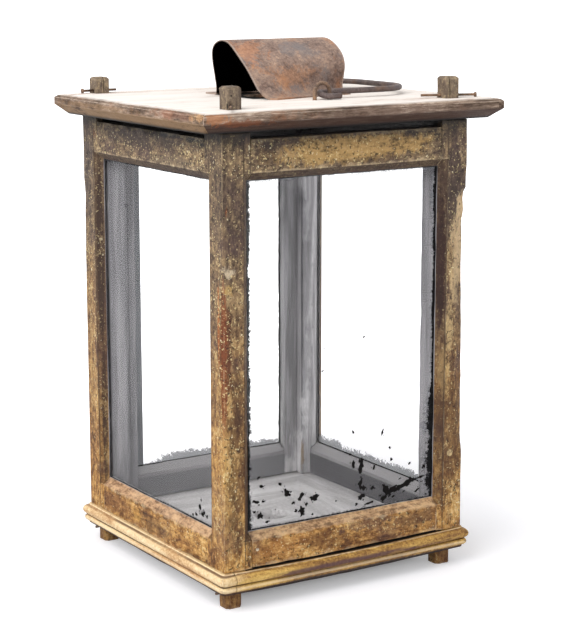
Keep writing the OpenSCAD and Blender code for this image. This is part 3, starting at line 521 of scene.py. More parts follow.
def frameWood(name, along, plan, marks=()):
    material, tree, shader = newMaterial(name)
    vector = objectVector(tree)
    place = axisParts(tree, vector)
    grain = groupNode(tree, grainGroup, {"Vector": stretched(tree, vector, along)})
    patches = noise(tree, stretched(tree, vector, along, 0.55), 50.0, 10.0, 0.70, 0.4)
    crust = noise(tree, stretched(tree, vector, along, 0.6), 330.0, 7.0, 0.78)
    fibres = noise(tree, stretched(tree, vector, along, 0.06), 420.0, 4.0, 0.6, 0.2)
    rub = groupNode(tree, rubGroup, {"Edge": attribute(tree, "edge"), "Vector": vector, "Amount": 0.40})[0]
    value = calc(tree, "MULTIPLY_ADD", patches, 0.40, calc(tree, "MULTIPLY_ADD", crust, 0.48, calc(tree, "MULTIPLY", fibres, 0.12)))
    value = calc(tree, "MULTIPLY_ADD", value, plan["contrast"], 0.5 - 0.5 * plan["contrast"])
    # darker and greyer towards the top: partly the wood's own colour, partly painted shade under the lid's overhang
    wander = calc(tree, "MULTIPLY_ADD", noise(tree, vector, 14.0, 3.0), 0.16, calc(tree, "ADD", place[2], -0.08))
    height = span(tree, wander, 0.03, 0.24)
    colour = blendColour(tree, height, ramp(tree, value, list(zip(plan["at"], plan["low"]))),
                         ramp(tree, value, list(zip(plan["at"], plan["high"]))))
    grime = span(tree, noise(tree, vector, 24.0, 6.0, 0.66, 0.5), 0.50, 0.64)
    colour = blendColour(tree, calc(tree, "MULTIPLY", grime, 0.42), colour, plan["purple"])
    colour = blendColour(tree, calc(tree, "MULTIPLY", grain[1], 0.25), colour, plan["dark"])
    painted = addMarks(tree, vector, colour, marks, value)
    # marks let the darkest and palest fibres through
    through = span(tree, calc(tree, "ABSOLUTE", calc(tree, "SUBTRACT", value, 0.5)), 0.12, 0.30)
    colour = blendColour(tree, calc(tree, "MULTIPLY", through, 0.55), painted, colour)
    bare = calc(tree, "MULTIPLY", attribute(tree, "bare"), calc(tree, "MAXIMUM", span(tree, place[2], 0.172, 0.196), span(tree, place[0], 0.01, -0.01)))
    torn = calc(tree, "MULTIPLY_ADD", calc(tree, "SUBTRACT", value, 0.5), 1.3, bare)
    side = blendColour(tree, span(tree, place[0], -0.01, 0.01), plan["bareLeft"], plan["bareRight"])
    shade = ramp(tree, value, [(0.1, (0.35, 0.33, 0.3, 1)), (0.45, (0.8, 0.8, 0.8, 1)), (0.8, (1, 1, 1, 1))])
    side = blendColour(tree, 1.0, side, shade, "MULTIPLY")
    colour = blendColour(tree, calc(tree, "MULTIPLY", span(tree, torn, 0.45, 0.95), 0.7), colour, side)
    # crumbs of pale paint and dark pits in clusters, more of them high up
    cluster = calc(tree, "MULTIPLY_ADD", patches, 0.35, calc(tree, "MULTIPLY_ADD", height, 0.03, -0.205))
    for size, low, high, paint, strength in plan["crumbs"]:
        dots = span(tree, calc(tree, "ADD", noise(tree, vector, size, 2.0, 0.5), cluster), low, high)
        colour = blendColour(tree, calc(tree, "MULTIPLY", dots, strength), colour, paint)
    outX, outY = calc(tree, "ABSOLUTE", place[0]), calc(tree, "ABSOLUTE", place[1])
    if along == "z":
        # the upright window bevels are darkened: painted shade
        onFront = calc(tree, "MULTIPLY", calc(tree, "LESS_THAN", outX, plan["bevelX"] + 0.0002), calc(tree, "GREATER_THAN", outY, plan["paneY"]))
        onEnd = calc(tree, "MULTIPLY", calc(tree, "LESS_THAN", outY, plan["bevelY"] + 0.0002), calc(tree, "GREATER_THAN", outX, plan["paneX"]))
        window = calc(tree, "MULTIPLY", calc(tree, "GREATER_THAN", place[2], plan["sillLow"]), calc(tree, "LESS_THAN", place[2], plan["lintelHigh"]))
        bevel = calc(tree, "MULTIPLY", calc(tree, "MAXIMUM", onFront, onEnd), window)
        colour = blendColour(tree, calc(tree, "MULTIPLY", bevel, 0.55), colour, plan["bevel"])
        line = calc(tree, "MAXIMUM", calc(tree, "MULTIPLY", nearValue(tree, outX, plan["bevelX"], 0.0007), calc(tree, "GREATER_THAN", outY, plan["paneY"])),
                    calc(tree, "MULTIPLY", nearValue(tree, outY, plan["bevelY"], 0.0007), calc(tree, "GREATER_THAN", outX, plan["paneX"])))
        line = calc(tree, "MULTIPLY", line, span(tree, crust, 0.36, 0.52))
        colour = blendColour(tree, calc(tree, "MULTIPLY", line, 0.75), colour, plan["dark"])
    else:
        # the pale upward sill bevel of the low rails: rubbed wear and painted light
        sill = calc(tree, "MULTIPLY", span(tree, place[2], plan["sillLow"] - 0.0004, plan["sillLow"] + 0.0005),
                    calc(tree, "LESS_THAN", place[2], plan["sillHigh"] + 0.001))
        broken = calc(tree, "MULTIPLY_ADD", span(tree, value, 0.2, 0.7), 0.52, 0.14)
        colour = blendColour(tree, calc(tree, "MULTIPLY", sill, broken), colour, plan["sill" if along == "x" else "sillEnd"])
        # the downward lintel bevel of the high rails: painted shade
        shadedLintel = calc(tree, "MULTIPLY", calc(tree, "LESS_THAN", place[2], plan["lintelHigh"]),
                      calc(tree, "GREATER_THAN", place[2], plan["lintelLow"] - 0.001))
        colour = blendColour(tree, calc(tree, "MULTIPLY", shadedLintel, 0.75), colour, plan["shadedLintel"])
    if along == "z":
        colour = addMarks(tree, vector, colour, edgeMarks, value)
    colour = blendColour(tree, calc(tree, "MULTIPLY", rub, 0.35), colour, plan["cream"])
    # painted shadow, with some soot, right under the lid, outside and inside
    under = span(tree, calc(tree, "MULTIPLY_ADD", noise(tree, vector, 220.0, 5.0, 0.75), 0.018, place[2]), 0.2840, 0.3000)
    under = calc(tree, "MULTIPLY", under, calc(tree, "LESS_THAN", place[2], plan["lidTop"] - 0.001))
    colour = blendColour(tree, calc(tree, "MULTIPLY", under, 0.92), colour, plan["sootAndShade"])
    # the greys inside: unvarnished wood, darkened as painted shade inside the lantern
    shade = span(tree, grain[0], 0.34, 0.66)
    inner = blendColour(tree, calc(tree, "MULTIPLY_ADD", shade, 0.7, 0.3), plan["insideDark"], plan["inside"])
    # the far right post is greyer and paler than the others inside
    atBack = span(tree, place[1], 0.050, 0.056)
    farCorner = calc(tree, "MULTIPLY", atBack, span(tree, place[0], 0.050, 0.056))
    inner = blendColour(tree, farCorner, inner, blendColour(tree, shade, plan["farDark"], plan["farInside"]))
    if along == "z":
        inner = addMarks(tree, vector, inner, insideMarks)
    else:
        # the low rails inside: a dark face below a pale sloped top, painted shade and painted light by the way each
        # faces
        face = blendColour(tree, calc(tree, "MULTIPLY", shade, 0.4), plan["shadedRailFace"], plan["insideDark"])
        if along == "x":
            face = blendColour(tree, atBack, face, plan["farRail"])
        face = blendColour(tree, span(tree, place[2], plan["sillLow"] - 0.0030, plan["sillLow"] - 0.0014), face, plan["litRailTop"])
        inner = blendColour(tree, calc(tree, "LESS_THAN", place[2], 0.1), inner, face)
    # painted shade high inside, under the lid
    inner = blendColour(tree, span(tree, place[2], 0.2500, 0.2680), inner, plan["sootAndShade"])
    colour = blendColour(tree, insideMask(tree, place, plan), colour, inner)
    # the feet under the base are darkened: painted shade
    feet = calc(tree, "MULTIPLY", span(tree, place[2], 0.0135, 0.0095), calc(tree, "MULTIPLY_ADD", patches, -0.9, 0.95))
    colour = blendColour(tree, feet, colour, plan["foot"])
    # tenons above the lid are bare and grey
    above = calc(tree, "GREATER_THAN", place[2], plan["lidTop"] - 0.001)
    colour = blendColour(tree, calc(tree, "MULTIPLY", above, 0.5), colour, blendColour(tree, calc(tree, "MULTIPLY", span(tree, value, 0.2, 1.0), 0.7), plan["dark"], plan["cream"]))
    colour = blendColour(tree, calc(tree, "MULTIPLY", above, 0.4), colour, plan["grey"])
    if along == "z":
        colour = addMarks(tree, vector, colour, tenonMarks)
    colour = blendColour(tree, attribute(tree, "crack"), colour, plan["sootAndShade"])
    tree.links.new(colour, shader.inputs["Base Color"])
    tree.links.new(calc(tree, "MULTIPLY_ADD", crust, -0.4, 0.86), shader.inputs["Roughness"])
    shader.inputs["Specular IOR Level"].default_value = 0.3
    relief = calc(tree, "MULTIPLY_ADD", crust, 1.2, calc(tree, "MULTIPLY_ADD", fibres, 0.3, calc(tree, "MULTIPLY", grain[2], 0.6)))
    bump(tree, shader, relief, 0.0007, 0.8)
    return material


lidPlan = {
    "top": [tone(150, 132, 122), tone(204, 184, 172), tone(238, 229, 222), tone(248, 243, 238)],
    "edge": [tone(38, 28, 23), tone(82, 65, 52), tone(122, 103, 88), tone(154, 133, 116), tone(224, 206, 188)],
    "at": (0.10, 0.32, 0.52, 0.70, 0.98), "topAt": (0.05, 0.26, 0.46, 0.9), "contrast": 2.8,
    "rust": tone(158, 98, 58), "under": tone(52, 30, 20), "underLeft": tone(132, 104, 72), "rim": tone(228, 208, 190), "sootAndShade": tone(14, 11, 10),
    "hoodMiddle": (0.0095, 0.0010), "hoodHalf": (0.0365, 0.0235),      # soot and painted shade on the boards under the hood
    "height": 0.3041, "halfX": 0.1073, "halfY": 0.0981,
    # worn front left corner of the rim
    "marks": [((-100, -98, 300), (14, 5, 5), tone(190, 124, 76), 0.6, 2.0), ((-107, -92, 301), (4, 10, 4), tone(226, 178, 128), 0.7, 2.0),
              ((-84, -99, 296), (26, 5, 3.5), tone(120, 68, 38), 0.7, 1.6), ((-107, -60, 301), (4, 30, 3), tone(146, 96, 76), 0.4, 2.0),
              ((20, -98, 300), (60, 4, 4), tone(96, 70, 60), 0.4, 2.2),
              ((-107, 30, 299.4), (4, 60, 1.6), tone(136, 104, 68), 0.5, 1.8)],
}


def lidWood(plan):
    material, tree, shader = newMaterial("lidWood")
    vector = objectVector(tree)
    place = axisParts(tree, vector)
    # the pattern on the left and right edges runs along those edges
    outX = calc(tree, "SUBTRACT", calc(tree, "ABSOLUTE", place[0]), plan["halfX"])
    outY = calc(tree, "SUBTRACT", calc(tree, "ABSOLUTE", place[1]), plan["halfY"])
    onEnd = calc(tree, "GREATER_THAN", outX, outY)
    run = put(tree, "ShaderNodeMix", {0: onEnd, 4: stretched(tree, vector, "x", 0.16), 5: stretched(tree, vector, "y", 0.22)}, data_type="VECTOR").outputs[1]
    grain = groupNode(tree, grainGroup, {"Vector": stretched(tree, vector, "x"), "Fineness": 0.8})
    rub = groupNode(tree, rubGroup, {"Edge": attribute(tree, "edge"), "Vector": vector, "Amount": 0.5})[0]
    patches = noise(tree, stretched(tree, vector, "x", 0.14), 60.0, 8.0, 0.66, 0.3)
    crust = noise(tree, stretched(tree, vector, "x", 0.16), 330.0, 7.0, 0.72, 0.2)
    value = calc(tree, "MULTIPLY_ADD", patches, 0.5, calc(tree, "MULTIPLY", crust, 0.5))
    value = calc(tree, "MULTIPLY_ADD", value, plan["contrast"], 0.5 - 0.5 * plan["contrast"])
    colour = ramp(tree, calc(tree, "ADD", value, 0.10), list(zip(plan["topAt"], plan["top"])))
    for axis in range(2):
        away = calc(tree, "ABSOLUTE", calc(tree, "SUBTRACT", place[axis], plan["hoodMiddle"][axis]))
        inside = span(tree, calc(tree, "MULTIPLY_ADD", crust, 0.0012, away), plan["hoodHalf"][axis] + 0.0008, plan["hoodHalf"][axis] - 0.0004)
        underHood = inside if axis == 0 else calc(tree, "MULTIPLY", underHood, inside)
    colour = blendColour(tree, underHood, colour, plan["sootAndShade"])
    edgeValue = calc(tree, "MULTIPLY_ADD", noise(tree, run, 110.0, 9.0, 0.72, 0.3), 0.5, calc(tree, "MULTIPLY", noise(tree, run, 480.0, 7.0, 0.8), 0.5))
    edgeValue = calc(tree, "MULTIPLY_ADD", edgeValue, 3.2, -1.1)
    side = ramp(tree, edgeValue, list(zip(plan["at"], plan["edge"])))
    rusty = span(tree, noise(tree, vector, 46.0, 5.0, 0.7), 0.54, 0.68)
    side = blendColour(tree, calc(tree, "MULTIPLY", rusty, 0.34), side, plan["rust"])
    side = blendColour(tree, calc(tree, "MULTIPLY", rub, 0.55), side, plan["rim"])
    # the downward lower edge of the rim: painted shade, lighter on the left end, the lit side
    low = span(tree, place[2], 0.2986, 0.2968)
    under = blendColour(tree, calc(tree, "MULTIPLY", onEnd, calc(tree, "LESS_THAN", place[0], 0.0)), plan["under"], plan["underLeft"])
    under = blendColour(tree, span(tree, edgeValue, 0.5, 0.1), under, plan["under"])
    side = blendColour(tree, calc(tree, "MULTIPLY", low, calc(tree, "MULTIPLY_ADD", crust, -0.5, 1.15, clamp=True)), side, under)
    side = addMarks(tree, vector, side, plan["marks"], edgeValue)
    # the lowest band of the rim is black: painted shade under the lid's edge
    side = blendColour(tree, span(tree, place[2], 0.2936, 0.2912), side, plan["sootAndShade"])
    edgeLine = calc(tree, "MULTIPLY_ADD", noise(tree, run, 150.0, 5.0, 0.7), 0.0014, place[2])
    colour = blendColour(tree, span(tree, edgeLine, plan["height"] - 0.0006, plan["height"] + 0.0005), side, colour)
    colour = blendColour(tree, attribute(tree, "crack"), colour, plan["sootAndShade"])
    tree.links.new(colour, shader.inputs["Base Color"])
    tree.links.new(calc(tree, "MULTIPLY_ADD", crust, -0.3, 0.88), shader.inputs["Roughness"])
    shader.inputs["Specular IOR Level"].default_value = 0.3
    bump(tree, shader, calc(tree, "MULTIPLY_ADD", edgeValue, 0.25, grain[2]), 0.0007, 0.8)
    return material


basePlan = {
    "litLeftSide": [tone(124, 84, 58), tone(192, 148, 102), tone(230, 200, 152), tone(244, 224, 184), tone(252, 240, 210)],
    "front": [tone(58, 36, 26), tone(130, 92, 50), tone(190, 150, 80), tone(220, 184, 104), tone(240, 214, 150)],
    "at": (0.10, 0.34, 0.54, 0.72, 0.96), "contrast": 2.7,
    "quirk": tone(84, 44, 26), "stainAndShade": tone(84, 58, 62), "under": tone(92, 62, 42), "dark": tone(34, 22, 18),
    "rim": tone(250, 228, 188), "floor": tone(202, 200, 201), "floorDark": tone(160, 157, 158), "sootAndShade": tone(14, 11, 10),
    "insideLow": 0.0118,
    "top": 0.0250, "gapOut": 0.0894, "bandLow": 0.0238, "beadLow": 0.0174, "lowest": 0.0130,      # heights where the beads begin and end
}


def baseWood(plan, panes):
    material, tree, shader = newMaterial("baseWood")
    vector = objectVector(tree)
    place = axisParts(tree, vector)
    # the grain of each moulding runs along its own side
    across = calc(tree, "GREATER_THAN", calc(tree, "SUBTRACT", calc(tree, "ABSOLUTE", place[1]), calc(tree, "ABSOLUTE", place[0])), -0.001)
    run = put(tree, "ShaderNodeMix", {0: across, 4: stretched(tree, vector, "y", 0.16), 5: stretched(tree, vector, "x", 0.16)}, data_type="VECTOR").outputs[1]
    grain = groupNode(tree, grainGroup, {"Vector": run})
    patches = noise(tree, run, 90.0, 8.0, 0.68, 0.3)
    crust = noise(tree, vector, 480.0, 8.0, 0.82)
    rub = groupNode(tree, rubGroup, {"Edge": attribute(tree, "edge"), "Vector": vector, "Amount": 0.6})[0]
    value = calc(tree, "MULTIPLY_ADD", patches, 0.54, calc(tree, "MULTIPLY", crust, 0.46))
    value = calc(tree, "MULTIPLY_ADD", value, plan["contrast"], 0.5 - 0.5 * plan["contrast"])
    # the left side and the left end of the front are paler: painted light from the left, the front's colours being the
    # shaded copy
    litLeftSide = calc(tree, "MULTIPLY_ADD", calc(tree, "SUBTRACT", patches, 0.5), 0.06, place[0])
    litLeftSide = span(tree, litLeftSide, -0.070, -0.092)
    colour = blendColour(tree, litLeftSide, ramp(tree, value, list(zip(plan["at"], plan["front"]))),
                         ramp(tree, value, list(zip(plan["at"], plan["litLeftSide"]))))
    # purple along the lower half of the large bead, on the front more than on the sides: dirt and painted shade on the
    # downward half
    dirty = span(tree, noise(tree, run, 70.0, 6.0, 0.7), 0.42, 0.56)
    belly = nearValue(tree, place[2], plan["beadLow"] + 0.0014, 0.0022)
    shy = calc(tree, "MULTIPLY_ADD", litLeftSide, -0.75, 0.85)
    colour = blendColour(tree, calc(tree, "MULTIPLY", calc(tree, "MULTIPLY", belly, dirty), shy), colour, plan["stainAndShade"])
    # a pale band round the crest of the small bead: painted highlight
    colour = blendColour(tree, calc(tree, "MULTIPLY", nearValue(tree, place[2], plan["beadLow"] - 0.0022, 0.0012), 0.45), colour, plan["rim"])
    colour = blendColour(tree, calc(tree, "MULTIPLY", rub, 0.7), colour, plan["rim"])
    broken = calc(tree, "MULTIPLY_ADD", span(tree, patches, 0.40, 0.58), 0.6, 0.22)
    for height, wide in ((plan["bandLow"], 0.0007), (plan["beadLow"], 0.0008)):
        colour = blendColour(tree, calc(tree, "MULTIPLY", nearValue(tree, place[2], height, wide), broken), colour, plan["quirk"])
    # the lowest part, facing down, is darkened: painted shade under the board
    low = span(tree, calc(tree, "MULTIPLY_ADD", crust, 0.0012, place[2]), plan["lowest"] + 0.0014, plan["lowest"] + 0.0004)
    colour = blendColour(tree, low, colour, blendColour(tree, span(tree, value, 0.3, 0.7), plan["dark"], plan["under"]))
    inner = blendColour(tree, span(tree, value, 0.2, 0.8), plan["floorDark"], plan["floor"])
    colour = blendColour(tree, insideMask(tree, place, {**panes, "insideLow": plan["insideLow"]}), colour, inner)
    # nothing but shade between the sagging board and the front rail
    gap = calc(tree, "MULTIPLY", calc(tree, "GREATER_THAN", place[2], plan["bandLow"] - 0.0022), calc(tree, "LESS_THAN", place[2], plan["top"] - 0.0004))
    outY = calc(tree, "ABSOLUTE", place[1])
    gap = calc(tree, "MULTIPLY", gap, calc(tree, "MULTIPLY", calc(tree, "LESS_THAN", outY, plan["gapOut"]), calc(tree, "GREATER_THAN", outY, panes["paneY"])))
    gap = calc(tree, "MULTIPLY", gap, calc(tree, "LESS_THAN", calc(tree, "ABSOLUTE", place[0]), panes["bevelX"]))
    colour = blendColour(tree, gap, colour, plan["sootAndShade"])
    # darker still below this height: painted shade
    colour = blendColour(tree, span(tree, place[2], 0.0122, 0.0116), colour, plan["dark"])
    colour = blendColour(tree, attribute(tree, "crack"), colour, plan["sootAndShade"])
    tree.links.new(colour, shader.inputs["Base Color"])
    tree.links.new(calc(tree, "MULTIPLY_ADD", crust, -0.4, 0.82), shader.inputs["Roughness"])
    shader.inputs["Specular IOR Level"].default_value = 0.35
    bump(tree, shader, calc(tree, "MULTIPLY_ADD", crust, 1.0, grain[2]), 0.0006, 0.8)
    return material


ironPlan = {
    # colours from the deepest rust to the lightest film
    "sheet": {"colours": [tone(62, 44, 38), tone(112, 90, 80), tone(146, 122, 108), tone(170, 142, 122), tone(208, 186, 168)],
              "rust": tone(176, 118, 72), "dull": tone(116, 110, 110), "rim": tone(172, 154, 142), "sootAndShade": tone(1, 1, 1),
              "metal": 0.15, "rough": 0.66, "scale": 62.0, "relief": 0.0005,
              "marks": [((-18, -10, 336), (16, 22, 9), tone(196, 130, 84), 0.5, 2.2), ((2, -22, 316), (22, 14, 10), tone(196, 140, 98), 0.45, 2.4),
                        ((18, -16, 334), (18, 16, 8), tone(126, 120, 120), 0.5, 2.2)]},
    "rod": {"colours": [tone(34, 27, 27), tone(70, 58, 57), tone(96, 82, 79), tone(118, 102, 96), tone(172, 152, 140)],
            "rust": tone(128, 96, 74), "dull": tone(78, 68, 76), "rim": tone(180, 162, 148), "sootAndShade": tone(8, 7, 7),
            "metal": 0.35, "rough": 0.5, "scale": 120.0, "relief": 0.0005, "marks": []},
    "small": {"colours": [tone(40, 28, 24), tone(86, 68, 56), tone(122, 98, 80), tone(150, 122, 98), tone(190, 166, 140)],
              "rust": tone(150, 106, 70), "dull": tone(92, 84, 84), "rim": tone(180, 156, 132), "sootAndShade": tone(8, 7, 7),
              "metal": 0.25, "rough": 0.6, "scale": 220.0, "relief": 0.0003, "marks": []},
}


def rustyIron(name, plan):
    material, tree, shader = newMaterial(name)
    vector = objectVector(tree)
    patches = noise(tree, vector, plan["scale"], 9.0, 0.68, 0.4)
    fine = noise(tree, vector, plan["scale"] * 8, 6.0, 0.74)
    value = calc(tree, "MULTIPLY_ADD", patches, 0.5, calc(tree, "MULTIPLY", fine, 0.5))
    value = calc(tree, "MULTIPLY_ADD", value, 2.5, -0.75)
    pits = groupNode(tree, speckGroup, {"Vector": vector, "Scale": plan["scale"] * 9, "Amount": 0.22, "Size": 0.36})[0]
    rub = groupNode(tree, rubGroup, {"Edge": attribute(tree, "edge"), "Vector": vector, "Amount": 0.8})[0]
    colour = ramp(tree, value, list(zip((0.08, 0.34, 0.56, 0.74, 0.97), plan["colours"])))
    rusty = span(tree, noise(tree, vector, plan["scale"] * 0.55, 6.0, 0.72, 0.6), 0.50, 0.66)
    colour = blendColour(tree, calc(tree, "MULTIPLY", rusty, 0.55), colour, plan["rust"])
    dull = span(tree, noise(tree, vector, plan["scale"] * 0.7, 6.0, 0.7, 0.3), 0.47, 0.37)
    colour = blendColour(tree, calc(tree, "MULTIPLY", dull, 0.55), colour, plan["dull"])
    colour = blendColour(tree, calc(tree, "MULTIPLY", pits, 0.4), colour, plan["colours"][0])
    colour = addMarks(tree, vector, colour, plan["marks"], value)
    pale = groupNode(tree, speckGroup, {"Vector": vector, "Scale": plan["scale"] * 13, "Amount": 0.14, "Size": 0.26})[0]
    colour = blendColour(tree, calc(tree, "MULTIPLY", pale, 0.45), colour, plan["rim"])
    colour = blendColour(tree, calc(tree, "MULTIPLY", rub, 0.75), colour, plan["rim"])
    # soot and painted shade on the hood's inner side
    colour = blendColour(tree, attribute(tree, "sootAndShade"), colour, plan["sootAndShade"])
    tree.links.new(colour, shader.inputs["Base Color"])
    # the black inside, soot and painted shade, neither shines nor mirrors
    clean = calc(tree, "SUBTRACT", 1.0, attribute(tree, "sootAndShade"))
    tree.links.new(calc(tree, "MULTIPLY", clean, plan["metal"]), shader.inputs["Metallic"])
    tree.links.new(calc(tree, "MULTIPLY", clean, 0.5), shader.inputs["Specular IOR Level"])
    tree.links.new(calc(tree, "MULTIPLY_ADD", fine, 0.3, plan["rough"] - 0.15), shader.inputs["Roughness"])
    bump(tree, shader, calc(tree, "MULTIPLY_ADD", pits, -0.4, calc(tree, "MULTIPLY_ADD", patches, 1.5, fine)), plan["relief"], 0.8)
    return material


# the panes are so thin that they do not shift what is behind them, so only a clear coat mirrors the light
glassPlan = {"colour": (0.985, 0.99, 0.985, 1), "rough": 0.02, "clear": 0.8, "coat": 0.8, "ripple": 0.00008}


def windowGlass(plan):
    material, tree, shader = newMaterial("windowGlass")
    vector = objectVector(tree)
    shader.inputs["Base Color"].default_value = plan["colour"]
    shader.inputs["Roughness"].default_value = plan["rough"]
    shader.inputs["IOR"].default_value = 1.0
    shader.inputs["Transmission Weight"].default_value = 1.0
    shader.inputs["Coat Weight"].default_value = plan["coat"]
    shader.inputs["Coat Roughness"].default_value = plan["rough"]
    shader.inputs["Alpha"].default_value = 1 - plan["clear"]
    bump(tree, shader, noise(tree, vector, 26.0, 2.0), plan["ripple"], 0.3)
    return material


hazePlan = {"pale": tone(132, 134, 139), "black": tone(12, 11, 12), "veil": 0.0, "under": 0.0011}


def paneHaze(name, plan, bands, ragged, hazeAlpha, strip):
    # dirt film on a pane. bands: widths of the black edge at the left, right, lower and upper sides;
    # ragged: how far the grey film reaches in from the same sides, in metres
    material, tree, shader = newMaterial(name)
    vector = objectVector(tree)
    sides = [attribute(tree, side) for side in ("fromLeft", "fromRight", "fromBelow", "fromAbove")]
    rough = noise(tree, vector, 520.0, 6.0, 0.78, 0.3)
    slow = noise(tree, vector, 40.0, 4.0, 0.6)
    mixed = calc(tree, "MULTIPLY", calc(tree, "ADD", rough, slow), 0.5)
    black, grey = None, None
    for side, width, reach in zip(sides, bands, ragged):
        wobble = calc(tree, "MULTIPLY_ADD", span(tree, mixed, 0.36, 0.64), width * 1.3, width * 0.35)
        mask = span(tree, calc(tree, "SUBTRACT", wobble, side), -0.0001, 0.0003)
        black = mask if black is None else calc(tree, "MAXIMUM", black, mask)
        wobble = calc(tree, "MULTIPLY_ADD", span(tree, mixed, 0.36, 0.64), reach * 1.9, reach * 0.1)
        mask = span(tree, calc(tree, "SUBTRACT", wobble, side), -0.0003, 0.0014)
        grey = mask if grey is None else calc(tree, "MAXIMUM", grey, mask)
    alpha = calc(tree, "MULTIPLY", grey, hazeAlpha)
    streak = span(tree, noise(tree, stretched(tree, vector, "z", 0.2), 130.0, 5.0, 0.7), 0.5, 0.8)
    alpha = calc(tree, "MAXIMUM", alpha, calc(tree, "MULTIPLY", streak, plan["veil"]))
    alpha = calc(tree, "MAXIMUM", alpha, calc(tree, "MULTIPLY", black, 0.97), clamp=True)
    if strip:
        # putty along the right side, as grey as the wood beside it
        alpha = calc(tree, "MAXIMUM", alpha, span(tree, sides[1], strip, strip - 0.0003))
    colour = blendColour(tree, black, plan["pale"], plan["black"])
    tree.links.new(colour, shader.inputs["Base Color"])
    tree.links.new(alpha, shader.inputs["Alpha"])
    shader.inputs["Roughness"].default_value = 0.85
    shader.inputs["Specular IOR Level"].default_value = 0.1
    return material


def fleckPaint():
    # old black paint that is left in crumbs on the glass
    material, tree, shader = newMaterial("fleckPaint")
    vector = objectVector(tree)
    colour = blendColour(tree, noise(tree, vector, 900.0, 3.0), tone(6, 5, 6), tone(24, 21, 20))
    tree.links.new(colour, shader.inputs["Base Color"])
    shader.inputs["Roughness"].default_value = 0.9
    shader.inputs["Specular IOR Level"].default_value = 0.1
    bump(tree, shader, noise(tree, vector, 1500.0, 3.0), 0.0002, 0.6)
    return material


print("stage: materials")
frameMaterials = {
    "x": frameWood("railWoodFront", "x", woodPlan, railMarks["x"]), "y": frameWood("railWoodEnd", "y", woodPlan, railMarks["y"]),
    "z": frameWood("postWood", "z", woodPlan, postMarks),
}
lidMaterial = lidWood(lidPlan)
baseMaterial = baseWood(basePlan, woodPlan)
ironMaterials = {name: rustyIron("iron" + name.capitalize(), row) for name, row in ironPlan.items()}
glassMaterial = windowGlass(glassPlan)


def cleanCopy(nodeName):
    bm = bmesh.new()
    bm.from_mesh(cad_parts[nodeName].data)
    bmesh.ops.remove_doubles(bm, verts=bm.verts, dist=2e-6)
    return bm


def sliceAt(bm, axis, values):
    for value in values:
        middle, square = [0.0, 0.0, 0.0], [0.0, 0.0, 0.0]
        middle[axis], square[axis] = value, 1.0
        everything = bm.verts[:] + bm.edges[:] + bm.faces[:]
        bmesh.ops.bisect_plane(bm, geom=everything, plane_co=middle, plane_no=square, dist=1e-6)


def creaseEdges(bm, least):
    # long straight outer edges that run along an axis
    found = []
    for edge in bm.edges:
        if len(edge.link_faces) == 2 and edge.calc_length() > least and edge.calc_face_angle_signed() > 0.4:
            found.append(edge)
    return found


